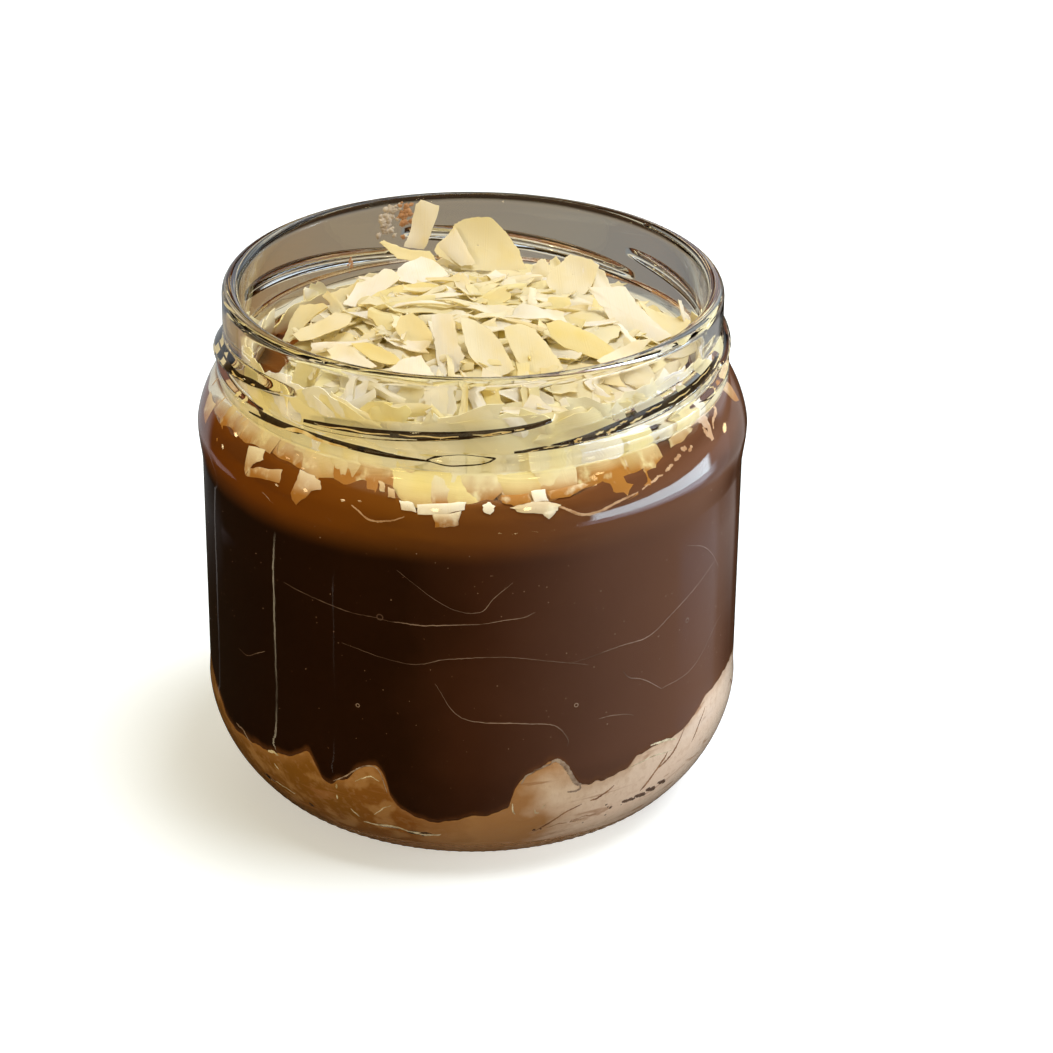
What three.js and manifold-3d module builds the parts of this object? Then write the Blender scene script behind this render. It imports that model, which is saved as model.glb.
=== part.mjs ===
// A jar of chocolate dessert. A glass screw-top jar without its lid holds a layer of cream, chocolate
// sauce up to the shoulder, and a heap of white chocolate shavings that stands out of the neck.
//
// Millimetres, +Z up. The origin is the middle of the foot, on the ground. Azimuths are in degrees:
// 0 is the front (-Y), 90 the right side (+X).

import * as THREE from 'three';
import { mergeVertices } from 'three/addons/utils/BufferGeometryUtils.js';
import Module from 'manifold-3d';

const wasm = await Module();
wasm.setup();

// ------------------------------------------------------------------------------- driving sizes

const SEGMENTS = 60; // facets round the jar and its contents
const GAP = 0.3; // room between two solids that touch

const foot = { pushUp: 1.6, innerRadius: 26, outerRadius: 29.5 };
const heel = { radius: 43.15, top: 17.8, power: 1.72 };
const panel = { radius: 43, bottom: 20.5, top: 56.5 };
const shoulder = { radius: 43.6, widest: 62.5, power: 1.4 };
const groove = { radius: 39.9, height: 70.5 };
const bead = { radius: 40.4, height: 72.2, halfHeight: 1.3 };
const finish = { radius: 39.2, bottom: 74 };
const rim = { top: 85.3, corner: 1.5 };
const cavity = {
  floor: 5.2, // top of the glass bottom
  floorRadius: 27,
  heelTop: 20,
  heelPower: 1.8,
  radius: 40.4,
  shoulderRadius: 40.9,
  shoulderBottom: 55,
  shoulderTop: 63,
  neckBottom: 72.5,
  neckRadius: 36.5,
};
const thread = {
  count: 6,
  stations: 8,
  span: 62, // azimuth that one ridge covers
  rise: 4,
  lowEnd: -44, // azimuth and height of the lower end of the front ridge
  lowHeight: 74.8,
  halfHeight: 1.3,
  proud: 1.7,
  root: 0.7, // how deep its root sits in the wall
};

// The cream's edge at the wall: a low line with waves and lumps on it, highest at the two sides.
const creamEdge = {
  lowest: 12.4,
  waves: [
    { at: -84, high: 8.4, wide: 20 },
    { at: -39, high: 6.6, wide: 5 },
    { at: -31, high: 2.4, wide: 5 },
    { at: -23, high: 7.4, wide: 5 },
    { at: 14.5, high: 8.2, wide: 6 },
    { at: 22, high: 3, wide: 6 },
    { at: 74, high: 10.4, wide: 36 },
    { at: 150, high: 4.6, wide: 16 },
    { at: -140, high: 6, wide: 22 },
  ],
  middle: 15, // height on the axis
};

// The sauce's edge at the wall, and its level further in.
const sauceEdge = {
  level: 66.8,
  waves: [
    { at: -25, high: 1.2, wide: 8 },
    { at: -9, high: -3.6, wide: 6 },
    { at: 12, high: -1.8, wide: 9 },
    { at: 60, high: 3, wide: 16 },
    { at: 170, high: 1.5, wide: 25 },
  ],
  middle: 67.4,
};

// The heap: a dome, with the shavings' middles on its surface.
const heap = {
  seed: 7,
  coreSegments: 32,
  coreRadius: 31.5,
  forward: 2, // how much further the heap reaches at the front, against the glass
  coreSide: 72, // height where the core's side turns into the dome
  buried: 1.1, // how far the core's dome lies under the shavings' middles
  top: 81.2,
  fall: 4, // drop of the dome at its shoulder
  shoulderRadius: 27,
  edgeFall: 2.4,
  edgeWidth: 8,
  thickness: 0.9,
  rooted: 0.08, // share of a shaving that is buried in the core
  rootingStep: 0.3,
  middle: 62, // height of the point that shavings settle towards
  topShavings: 22,
  sideShavings: 21,
};

// Large shavings. The middle of each, its length and width, how far it leans out of the flat and
// towards which azimuth, its turn in its own plane, and the depth of its bends along and across.
const largeShavings = [
  { at: [1.5, 18, 82.6], size: [15.5, 10.5], lean: 62, towards: -4, turn: 4, curl: 1.6, cup: 1.2 },
  { at: [-8.2, 18.5, 84.4], size: [10, 3], lean: 84, towards: 10, turn: 78, curl: 0.5, cup: 0.2 },
  { at: [-11, 17, 80.8], size: [10, 3.4], lean: 28, towards: 0, turn: -12, curl: 0.6, cup: 0.3 },
  { at: [-13, 9.5, 81], size: [21, 7.5], lean: 30, towards: -35, turn: 78, curl: 1.8, cup: 1.4 },
  { at: [15, 9.5, 81.6], size: [10.5, 9], lean: 64, towards: 14, turn: 70, curl: 1, cup: 0.8 },
  { at: [21, 15, 79], size: [9, 7], lean: 55, towards: 24, turn: 30, curl: 0.8, cup: 0.6 },
  { at: [25.4, 4.6, 78.3], size: [17, 11.5], lean: 38, towards: 22, turn: -24, curl: 1.5, cup: 0.8 },
  { at: [32.6, 8.5, 75], size: [6, 2.6], lean: 80, towards: 60, turn: 86, curl: 0.4, cup: 0.2 },
  { at: [-3.6, -13.5, 80.4], size: [13, 8], lean: 44, towards: -6, turn: 84, curl: 1.4, cup: 0.8 },
  { at: [4, -14, 80.2], size: [14, 7.5], lean: 42, towards: 8, turn: -62, curl: 1.2, cup: 0.9 },
  { at: [9.5, -12.5, 79.8], size: [12, 6], lean: 40, towards: 16, turn: -70, curl: 0.9, cup: 0.6 },
  { at: [-25.5, 1, 78], size: [13, 4.4], lean: 22, towards: -70, turn: 112, curl: 0.9, cup: 0.5 },
  { at: [-19, -14, 78.2], size: [12, 6], lean: 30, towards: -50, turn: 40, curl: 1, cup: 0.6 },
  { at: [20.5, -14.5, 78], size: [12, 7], lean: 34, towards: 50, turn: -30, curl: 1, cup: 0.6 },
];

// --------------------------------------------------------------------------------- small tools

const radians = THREE.MathUtils.degToRad;
const { clamp, lerp, smoothstep } = THREE.MathUtils;

/** A repeatable random number source that gives values from 0 to 1. */
function drawer(seed) {
  let state = seed;
  return () => {
    state = (state * 1664525 + 1013904223) % 4294967296;
    return state / 4294967296;
  };
}

/** The point at a radius, azimuth and height. */
function polar(radius, azimuth, height) {
  const angle = radians(azimuth);
  return new THREE.Vector3(radius * Math.sin(angle), -radius * Math.cos(angle), height);
}

/** The sum of bell-shaped waves at an azimuth. */
function waveHeight(waves, azimuth) {
  return waves.reduce((sum, { at, high, wide }) => {
    const away = THREE.MathUtils.euclideanModulo(azimuth - at + 180, 360) - 180;
    return sum + high * Math.exp(-((away / wide) ** 2));
  }, 0);
}

/**
 * A quarter of a superellipse between two profile points [radius, height]. It leaves the first
 * point along the radius and reaches the second along the height, or the other way round.
 */
function quarter(from, to, power, steps, radiusFirst = true) {
  const points = [];
  for (let i = 1; i <= steps; i++) {
    const turn = (i / steps) * (Math.PI / 2);
    const early = Math.sin(turn) ** (2 / power);
    const late = 1 - Math.max(Math.cos(turn), 0) ** (2 / power);
    const [alongRadius, alongHeight] = radiusFirst ? [early, late] : [late, early];
    points.push([lerp(from[0], to[0], alongRadius), lerp(from[1], to[1], alongHeight)]);
  }
  return points;
}

/** A geometry from points and triangles of point numbers. */
function geometryOf(points, triangles) {
  const geometry = new THREE.BufferGeometry().setFromPoints(points);
  geometry.setIndex(triangles.flat());
  return geometry;
}

/**
 * A closed solid of rings round the Z axis. The rings run from the underside's middle out, up and
 * back in to the upper side's middle, and each is a function of the azimuth that gives
 * [radius, height]. The two ends are heights on the axis.
 */
function ringSolid(lowMiddle, rings, highMiddle, segments = SEGMENTS) {
  const points = rings.flatMap((ring) =>
    Array.from({ length: segments }, (_, i) => {
      const azimuth = (i / segments) * 360;
      const [radius, height] = ring(azimuth);
      return polar(radius, azimuth, height);
    }),
  );
  const triangles = [];
  const low = points.push(new THREE.Vector3(0, 0, lowMiddle)) - 1;
  const high = points.push(new THREE.Vector3(0, 0, highMiddle)) - 1;
  const lastRing = (rings.length - 1) * segments;
  for (let i = 0; i < segments; i++) {
    const next = (i + 1) % segments;
    for (let start = 0; start < lastRing; start += segments) {
      const [a, b, c, d] = [start + i, start + next, start + segments + next, start + segments + i];
      // Each quad is split from its inner corner, so that an upper surface and the lower surface
      // that lies on it are split alike.
      const outward = Math.hypot(points[d].x, points[d].y) >= Math.hypot(points[a].x, points[a].y);
      triangles.push(...(outward ? [[a, b, c], [a, c, d]] : [[a, b, d], [b, c, d]]));
    }
    triangles.push([low, next, i], [high, lastRing + i, lastRing + next]);
  }
  return geometryOf(points, triangles);
}

/** A solid for joining and cutting, from a closed geometry. */
function toManifold(geometry) {
  const bare = geometry.clone();
  bare.deleteAttribute('normal');
  bare.deleteAttribute('uv');
  const merged = mergeVertices(bare);
  return new wasm.Manifold(
    new wasm.Mesh({
      numProp: 3,
      vertProperties: new Float32Array(merged.attributes.position.array),
      triVerts: new Uint32Array(merged.index.array),
    }),
  );
}

/** The geometry of a joined or cut solid. */
function toGeometry(manifold) {
  const { vertProperties, triVerts } = manifold.getMesh();
  const geometry = new THREE.BufferGeometry();
  geometry.setAttribute('position', new THREE.BufferAttribute(vertProperties, 3));
  geometry.setIndex(new THREE.BufferAttribute(triVerts, 1));
  return geometry;
}

// ---------------------------------------------------------------------------------- glass jar

/** The inside radius of the jar at a height above its floor. */
function cavityRadius(height) {
  if (height < cavity.heelTop) {
    const drop = clamp((cavity.heelTop - height) / (cavity.heelTop - cavity.floor), 0, 1);
    const reach = (1 - drop ** cavity.heelPower) ** (1 / cavity.heelPower);
    return lerp(cavity.floorRadius, cavity.radius, reach);
  }
  if (height < cavity.shoulderTop) {
    const swell = smoothstep(height, cavity.shoulderBottom, cavity.shoulderTop);
    return lerp(cavity.radius, cavity.shoulderRadius, swell);
  }
  const closing = smoothstep(height, cavity.shoulderTop, cavity.neckBottom);
  return lerp(cavity.shoulderRadius, cavity.neckRadius, closing);
}

/** The jar's section: out along the foot, up the outside, over the rim and down the inside. */
function jarProfile() {
  const wallTop = rim.top - rim.corner;
  const rimMiddle = (finish.radius + cavity.neckRadius) / 2;
  const inside = [72.5, 70, 67.6, 65.4, 63, 55, 20, 15.5, 11, 7.4].map((height) => [
    cavityRadius(height),
    height,
  ]);
  return [
    [0, foot.pushUp],
    [foot.innerRadius, 0],
    [foot.outerRadius, 0],
    ...quarter([foot.outerRadius, 0], [heel.radius, heel.top], heel.power, 5),
    [panel.radius, panel.bottom],
    [panel.radius, panel.top],
    [shoulder.radius, shoulder.widest],
    ...quarter(
      [shoulder.radius, shoulder.widest],
      [groove.radius, groove.height],
      shoulder.power,
      5,
      false,
    ),
    [bead.radius, bead.height - bead.halfHeight / 2],
    [bead.radius, bead.height + bead.halfHeight / 2],
    [finish.radius, finish.bottom],
    ...quarter([finish.radius, wallTop], [rimMiddle, rim.top], 2, 3, false),
    [cavity.neckRadius, wallTop],
    ...inside,
    [cavity.floorRadius, cavity.floor],
    [0, cavity.floor],
  ].map(([radius, height]) => new THREE.Vector2(radius, height));
}

/** One ridge of the interrupted screw thread, which climbs and fades out at both ends. */
function threadRidge(firstAzimuth) {
  const section = [
    [-1, -1.15],
    [0.4, -0.9],
    [1, -0.35],
    [1, 0.35],
    [0.4, 0.9],
    [-1, 1.15],
  ];
  const points = [];
  const triangles = [];
  for (let station = 0; station <= thread.stations; station++) {
    const along = station / thread.stations;
    const fullness = Math.sin(Math.PI * clamp(along, 0.04, 0.96)) ** 0.35;
    const azimuth = firstAzimuth + thread.span * along;
    const middle = thread.lowHeight + thread.rise * along;
    for (const [out, up] of section) {
      const depth = out < 0 ? -thread.root : thread.proud * out * fullness;
      const height = middle + thread.halfHeight * up * fullness;
      points.push(polar(finish.radius + depth, azimuth, height));
    }
  }
  const sides = section.length;
  for (let start = 0; start < thread.stations * sides; start += sides) {
    for (let i = 0; i < sides; i++) {
      const next = (i + 1) % sides;
      const [a, b, c, d] = [start + i, start + next, start + sides + next, start + sides + i];
      triangles.push([a, c, b], [a, d, c]);
    }
  }
  const last = thread.stations * sides;
  for (let i = 1; i < sides - 1; i++) {
    triangles.push([0, i, i + 1], [last, last + i + 1, last + i]);
  }
  return geometryOf(points, triangles);
}

function glassJar() {
  const shell = new THREE.LatheGeometry(jarProfile(), SEGMENTS).rotateX(Math.PI / 2);
  let glass = toManifold(shell);
  for (let i = 0; i < thread.count; i++) {
    glass = glass.add(toManifold(threadRidge(thread.lowEnd + (i * 360) / thread.count)));
  }
  return toGeometry(glass);
}

// ---------------------------------------------------------------------------- cream and sauce

/** The cream's height at the wall. */
function creamEdgeHeight(azimuth) {
  return creamEdge.lowest + waveHeight(creamEdge.waves, azimuth);
}

/** The sauce's height at the wall. */
function sauceEdgeHeight(azimuth) {
  return sauceEdge.level + waveHeight(sauceEdge.waves, azimuth);
}

/** A ring on the wall, at a height and the usual gap from the glass. */
function wallRing(heightAt) {
  return (azimuth) => {
    const height = heightAt(azimuth);
    return [cavityRadius(height) - GAP, height];
  };
}

/** A ring of a surface that runs from a height on the axis to an edge on the wall. */
function surfaceRing(share, middle, edgeAt, lift = 0) {
  return (azimuth) => {
    const edge = edgeAt(azimuth);
    return [(cavityRadius(edge) - GAP) * share, lerp(middle, edge, share ** 2) + lift];
  };
}

const INWARD = [0.86, 0.6, 0.3]; // where the rings of an upper or lower surface lie
const OUTWARD = [...INWARD].reverse();

function cream() {
  const bottom = cavity.floor + GAP;
  const rings = [
    () => [cavity.floorRadius - 1, bottom],
    wallRing(() => 7.4),
    wallRing((azimuth) => lerp(7.4, creamEdgeHeight(azimuth), 0.5)),
    wallRing(creamEdgeHeight),
    ...INWARD.map((share) => surfaceRing(share, creamEdge.middle, creamEdgeHeight)),
  ];
  return ringSolid(bottom, rings, creamEdge.middle);
}

function chocolateSauce() {
  const lowEdge = (azimuth) => creamEdgeHeight(azimuth) + GAP;
  const rings = [
    ...OUTWARD.map((share) => surfaceRing(share, creamEdge.middle, creamEdgeHeight, GAP)),
    surfaceRing(1, creamEdge.middle, creamEdgeHeight, GAP),
    wallRing((azimuth) => lerp(lowEdge(azimuth), 28, 0.45)),
    ...[28, 55, 60].map((height) => wallRing(() => height)),
    wallRing((azimuth) => lerp(60, sauceEdgeHeight(azimuth), 0.6)),
    wallRing(sauceEdgeHeight),
    ...INWARD.map((share) => surfaceRing(share, sauceEdge.middle, sauceEdgeHeight)),
  ];
  return ringSolid(creamEdge.middle + GAP, rings, sauceEdge.middle);
}

// -------------------------------------------------------------------------- heap of shavings

/** The height of the surface on which the shavings lie, at a radius. */
function domeHeight(radius) {
  const outer = Math.max(0, (radius - heap.shoulderRadius) / heap.edgeWidth);
  return heap.top - heap.fall * (radius / heap.shoulderRadius) ** 2 - heap.edgeFall * outer ** 2;
}

/** The radius of the heap's core, larger towards the front. */
function coreRadiusAt(azimuth) {
  return heap.coreRadius + heap.forward * Math.max(0, Math.cos(radians(azimuth)));
}

/** The free room above the sauce, clear of the sauce and the glass. */
function roomAboveSauce() {
  const above = rim.top + 15;
  const edgeSurface = (share) => surfaceRing(share, sauceEdge.middle, sauceEdgeHeight, GAP);
  const rings = [
    ...OUTWARD.map(edgeSurface),
    wallRing((azimuth) => sauceEdgeHeight(azimuth) + GAP),
    wallRing((azimuth) => lerp(sauceEdgeHeight(azimuth), cavity.neckBottom, 0.5)),
    wallRing(() => cavity.neckBottom),
    wallRing(() => above),
  ];
  return toManifold(ringSolid(sauceEdge.middle + GAP, rings, above));
}

function heapCore() {
  const underside = sauceEdge.level - 8;
  const rings = [
    (azimuth) => [coreRadiusAt(azimuth), underside],
    (azimuth) => [coreRadiusAt(azimuth), heap.coreSide],
    ...[0.92, 0.72, 0.4].map((share) => (azimuth) => {
      const radius = coreRadiusAt(azimuth) * share;
      return [radius, domeHeight(radius) - heap.buried];
    }),
  ];
  return toManifold(ringSolid(underside, rings, domeHeight(0) - heap.buried, heap.coreSegments));
}

/** A thin curved shaving with an uneven outline, both faces split into triangles alike. */
function shaving({ at, size: [length, width], lean, towards, turn, curl, cup }, draw) {
  const [stations, lanes] = [length > 12 ? 4 : 3, width > 6.5 ? 2 : 1];
  const points = [];
  const wave = draw() * Math.PI * 2;
  for (let i = 0; i <= stations; i++) {
    const along = (i / stations) * 2 - 1;
    const half = (width / 2) * (1 - 0.5 * Math.abs(along) ** 3) * lerp(0.75, 1.15, draw());
    const slant = (draw() - 0.5) * width * 0.35;
    for (let j = 0; j <= lanes; j++) {
      const across = (j / lanes) * 2 - 1;
      const bend = curl * along ** 2 + cup * across ** 2;
      const ripple = 0.25 * Math.sin(along * 4 + across * 2 + wave);
      const x = (length / 2) * along + slant * across;
      points.push(new THREE.Vector3(x, half * across, bend + ripple));
    }
  }
  const below = points.map((point) => point.clone().setZ(point.z - heap.thickness));
  const count = points.length;
  const triangles = [];
  const wide = lanes + 1;
  for (let i = 0; i < stations; i++) {
    for (let j = 0; j < lanes; j++) {
      const a = i * wide + j;
      const [b, c, d] = [a + wide, a + wide + 1, a + 1];
      triangles.push([a, b, c], [a, c, d]);
      triangles.push([count + a, count + c, count + b], [count + a, count + d, count + c]);
    }
  }
  const edge = [
    ...Array.from({ length: stations }, (_, i) => i * wide),
    ...Array.from({ length: lanes }, (_, j) => stations * wide + j),
    ...Array.from({ length: stations }, (_, i) => (stations - i) * wide + lanes),
    ...Array.from({ length: lanes }, (_, j) => lanes - j),
  ];
  edge.forEach((near, i) => {
    const far = edge[(i + 1) % edge.length];
    triangles.push([near, count + near, count + far], [near, count + far, far]);
  });
  const place = new THREE.Matrix4()
    .makeTranslation(...at)
    .multiply(new THREE.Matrix4().makeRotationZ(radians(towards)))
    .multiply(new THREE.Matrix4().makeRotationX(radians(lean)))
    .multiply(new THREE.Matrix4().makeRotationZ(radians(turn)));
  return geometryOf([...points, ...below], triangles).applyMatrix4(place);
}

/** Shavings that lie on the dome, more steeply towards its edge. */
function topShavings(draw) {
  const golden = 137.508;
  return Array.from({ length: heap.topShavings }, (_, i) => {
    const radius = 27 * Math.sqrt((i + 0.5) / heap.topShavings);
    const azimuth = i * golden;
    return shaving(
      {
        at: polar(radius, azimuth, domeHeight(radius) + lerp(-0.8, 0.8, draw())).toArray(),
        size: [lerp(8, 14, draw()), lerp(3, 6.5, draw())],
        lean: lerp(6, 34, draw()) + radius / 3,
        towards: azimuth + lerp(-70, 70, draw()),
        turn: draw() * 180,
        curl: lerp(0.4, 1.2, draw()),
        cup: lerp(0.2, 0.8, draw()),
      },
      draw,
    );
  });
}

/** Shavings that stand round the side of the heap, close to the neck. */
function sideShavings(draw) {
  return Array.from({ length: heap.sideShavings }, (_, i) => {
    const azimuth = (i / heap.sideShavings) * 360 + lerp(-4, 4, draw());
    const lower = i % 2;
    const radius = coreRadiusAt(azimuth) + lerp(0, 1.4, draw()) + lower * 0.8;
    return shaving(
      {
        at: polar(radius, azimuth, lower ? lerp(69.5, 71.5, draw()) : lerp(73, 75.5, draw())).toArray(),
        size: [lerp(8, 13, draw()), lerp(5, 8, draw())],
        lean: lerp(52, 80, draw()),
        towards: azimuth + lerp(-18, 18, draw()),
        turn: draw() * 180,
        curl: lerp(0.3, 1, draw()),
        cup: lerp(0.2, 0.6, draw()),
      },
      draw,
    );
  });
}

/** A shaving, settled towards the heap's middle until enough of it is buried in the core. */
function settled(piece, core) {
  piece.computeBoundingBox();
  const middle = piece.boundingBox.getCenter(new THREE.Vector3());
  const step = new THREE.Vector3(0, 0, heap.middle).sub(middle).setLength(heap.rootingStep);
  let body = toManifold(piece);
  const enough = heap.rooted * body.volume();
  while (body.intersect(core).volume() < enough) {
    piece.translate(...step);
    body = toManifold(piece);
  }
  return body;
}

function shavingsHeap() {
  const draw = drawer(heap.seed);
  const core = heapCore();
  const pieces = [
    ...largeShavings.map((piece) => shaving(piece, draw)),
    ...topShavings(draw),
    ...sideShavings(draw),
  ];
  const joined = pieces.reduce((sum, piece) => sum.add(settled(piece, core)), core);
  const bodies = joined.intersect(roomAboveSauce()).decompose();
  // The largest body alone: a loose scrap and the wall of a sealed hollow are left off.
  const whole = bodies.reduce((best, body) => (body.volume() > best.volume() ? body : best));
  return toGeometry(whole);
}

// ------------------------------------------------------------------------------------ assembly

function finishOf(color, roughness, options = {}) {
  return new THREE.MeshStandardMaterial({ color, roughness, metalness: 0, ...options });
}

function namedMesh(name, geometry, material) {
  const mesh = new THREE.Mesh(geometry, material);
  mesh.name = name;
  return mesh;
}

const dessertJar = new THREE.Group();
dessertJar.add(
  namedMesh('glass_jar', glassJar(), finishOf(0xcfd8d4, 0.05, { transparent: true, opacity: 0.3 })),
  namedMesh('cream', cream(), finishOf(0xd5ae8e, 0.6)),
  namedMesh('chocolate_sauce', chocolateSauce(), finishOf(0x351609, 0.3)),
  namedMesh('white_chocolate_shavings', shavingsHeap(), finishOf(0xefe0b4, 0.5)),
);

export default dessertJar;
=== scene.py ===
import math
from itertools import pairwise

import bpy
import numpy as np
from mathutils import Matrix, Vector

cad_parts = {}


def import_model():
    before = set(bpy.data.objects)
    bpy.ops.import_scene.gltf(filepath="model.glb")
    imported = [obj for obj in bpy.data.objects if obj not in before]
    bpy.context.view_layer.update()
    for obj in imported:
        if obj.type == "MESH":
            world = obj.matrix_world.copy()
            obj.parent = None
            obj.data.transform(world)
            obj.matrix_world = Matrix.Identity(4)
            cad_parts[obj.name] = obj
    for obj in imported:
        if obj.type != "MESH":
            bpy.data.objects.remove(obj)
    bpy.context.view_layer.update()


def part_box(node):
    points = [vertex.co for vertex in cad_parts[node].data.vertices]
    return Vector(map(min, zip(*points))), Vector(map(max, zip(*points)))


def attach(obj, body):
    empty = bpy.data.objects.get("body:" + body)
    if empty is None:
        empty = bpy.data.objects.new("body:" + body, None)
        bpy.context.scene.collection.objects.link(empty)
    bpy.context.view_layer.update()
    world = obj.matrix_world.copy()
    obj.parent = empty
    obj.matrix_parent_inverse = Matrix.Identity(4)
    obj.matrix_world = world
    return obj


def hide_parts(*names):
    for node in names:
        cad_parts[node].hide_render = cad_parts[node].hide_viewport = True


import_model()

# A glass jar of chocolate dessert: cream at the bottom, chocolate sauce up to the shoulder and a
# heap of white chocolate shavings in the neck. Sizes are in metres, written as so many mm, and an
# azimuth is in degrees: 0 is the front (-Y), 90 the right side (+X).

mm = 0.001
ROUND_STEPS, CREAM_STEPS, CORE_STEPS = 480, 540, 120  # how finely round forms are divided

# ---------------------------------------------------------------------------------------- sizes

JAR_HIGH = Vector(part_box("glass_jar")[1])
RIM_TOP = JAR_HIGH.z
BODY_REACH = JAR_HIGH.x  # the widest radius, at the shoulder

FOOT_RISE, FOOT_IN, FOOT_OUT = 1.6 * mm, 26 * mm, 29.5 * mm
HEEL_TOP, HEEL_RADIUS, HEEL_POWER = 17.8 * mm, 43.15 * mm, 1.72
PANEL_LOW, PANEL_HIGH, PANEL_RADIUS = 20.5 * mm, 56.5 * mm, 43 * mm
SHOULDER_HEIGHT, SHOULDER_POWER = 62.5 * mm, 1.4
GROOVE_HEIGHT, GROOVE_RADIUS = 70.5 * mm, 39.9 * mm
BEAD_HEIGHT, BEAD_RADIUS, BEAD_HALF = 72.2 * mm, 40.4 * mm, 1.3 * mm
FINISH_LOW, FINISH_RADIUS, RIM_CORNER = 74 * mm, 39.2 * mm, 1.5 * mm

FLOOR_TOP, FLOOR_RADIUS = 5.2 * mm, 27 * mm
INNER_HEEL_TOP, INNER_HEEL_POWER, INNER_RADIUS = 20 * mm, 1.8, 40.4 * mm
INNER_SHOULDER_RADIUS, INNER_SHOULDER_LOW, INNER_SHOULDER_TOP = 40.9 * mm, 55 * mm, 63 * mm
NECK_LOW, NECK_RADIUS = 72.5 * mm, 36.5 * mm

THREADS, THREAD_SPAN, THREAD_START = 6, 62, -44
THREAD_LOW, THREAD_RISE, THREAD_HALF, THREAD_PROUD = 74.8 * mm, 4 * mm, 1.45 * mm, 1.7 * mm
THREAD_CREST = -0.55  # where a ridge is highest, from -1 at its lower edge to 1 at its upper one
KNURLS, KNURL_LOW, KNURL_HIGH, KNURL_DEPTH = 120, 0.8 * mm, 5.2 * mm, 0.16 * mm

WET = 0.12 * mm  # how far the contents reach into the glass, so that no air shows between

# The edges at the wall, all the way round, as points (azimuth, height in mm).
CREAM_EDGE = (
    (-180, 12.6), (-165, 13.6), (-150, 17.0), (-140, 18.4), (-125, 17.0), (-110, 17.4), (-95, 19.6),
    (-84, 20.6), (-73, 17.5), (-69.4, 15.8), (-64.7, 15.1), (-60.3, 15.2), (-50.5, 15.8),
    (-46.7, 16.2), (-42.5, 17.2), (-40.0, 18.4), (-38.5, 19.2), (-37.1, 18.9), (-36.2, 17.6),
    (-34.5, 15.4), (-32.8, 14.7), (-30.5, 15.6), (-27.9, 16.7), (-25.0, 19.0), (-22.3, 20.2),
    (-20.5, 20.3), (-19.2, 19.2), (-18.6, 17.8), (-17.9, 15.0), (-16.0, 12.9), (-12.6, 11.4),
    (-8.3, 10.6), (-4.1, 11.3), (-0.5, 12.2), (2.0, 12.4), (5.5, 12.8), (8.1, 13.9), (9.0, 16.8),
    (10.4, 18.7), (12.6, 20.0), (15.0, 20.7), (16.8, 21.4), (19.0, 21.7), (20.8, 20.1),
    (22.7, 17.7), (24.2, 16.3), (26.9, 16.0), (28.9, 16.0), (32.1, 16.4), (36.2, 16.8),
    (38.2, 18.3), (42.1, 18.9), (46.8, 18.8), (51.6, 18.8), (54.4, 19.5), (58.4, 20.7),
    (61.9, 22.1), (68, 22.4), (79, 22.8), (90, 21.6), (105, 18.5), (120, 15.5), (135, 15.0),
    (150, 17.0), (165, 15.0), (180, 12.6),
)
SAUCE_EDGE = (
    (-180, 67.4), (-150, 67.0), (-110, 66.4), (-72, 66.0), (-58.4, 66.5), (-51.6, 66.9),
    (-41.4, 66.5), (-34.0, 66.5), (-27.9, 66.7), (-20.6, 67.6), (-17.5, 67.2), (-15.4, 65.6),
    (-11.3, 64.6), (-6.5, 64.9), (-1.7, 65.8), (3.2, 66.2), (7.0, 65.9), (14.7, 65.5), (20.7, 65.9),
    (29.1, 66.9), (39.7, 66.9), (52.0, 67.6), (61.5, 68.0), (69.9, 68.1), (90, 68.4), (130, 68.0),
    (180, 67.4),
)
CREAM_MIDDLE, SAUCE_MIDDLE = 15 * mm, 67.4 * mm

DOME_TOP, DOME_FALL, DOME_SHOULDER = 81.2 * mm, 4 * mm, 27 * mm
DOME_EDGE_FALL, DOME_EDGE = 2.4 * mm, 8 * mm
# The core: its radius, and how far it swells to the front, stays inside the heap's edge and lies
# below the shavings.
CORE_RADIUS, CORE_FORWARD, CORE_IN, CORE_DEPTH = 31 * mm, 3.8 * mm, 3 * mm, 1.8 * mm
# How far the heap reaches at its top, as points (azimuth, radius in mm): clear of the back wall.
HEAP_REACH = (
    (-180, 23.0), (-164, 23.4), (-145, 24.4), (-118, 25.9), (-98, 27.6), (-81, 29.7), (-66, 34.4),
    (-50, 35.8), (60, 35.8), (86, 35.2), (99, 33.6), (112, 30.0), (138, 29.6), (148, 26.7),
    (161, 23.8), (180, 23.0),
)

# ----------------------------------------------------------------------------- forms as formulas


def smooth(value, low, high):
    """A smooth step from 0 at low to 1 at high."""
    share = np.clip((np.asarray(value, float) - low) / (high - low), 0, 1)
    return share * share * (3 - 2 * share)


def mix(low, high, share):
    return low + (high - low) * share


def superellipse(share, power):
    """The reach of a superellipse's quarter, from 1 at share 0 down to 0 at share 1."""
    return (1 - np.clip(share, 0, 1) ** power) ** (1 / power)


def cavity_radius(height):
    """The inside radius of the jar."""
    z = np.asarray(height, float)
    drop = (INNER_HEEL_TOP - z) / (INNER_HEEL_TOP - FLOOR_TOP)
    heel = mix(FLOOR_RADIUS, INNER_RADIUS, superellipse(drop, INNER_HEEL_POWER))
    swell = mix(
        INNER_RADIUS, INNER_SHOULDER_RADIUS, smooth(z, INNER_SHOULDER_LOW, INNER_SHOULDER_TOP)
    )
    neck = mix(INNER_SHOULDER_RADIUS, NECK_RADIUS, smooth(z, INNER_SHOULDER_TOP, NECK_LOW))
    return np.where(z < INNER_HEEL_TOP, heel, np.where(z < INNER_SHOULDER_TOP, swell, neck))


def edge_at(azimuth, points):
    """An edge's height or reach at an azimuth, between its points (azimuth, mm)."""
    known = np.array(points)
    return np.interp(azimuth, known[:, 0], known[:, 1]) * mm


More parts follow.
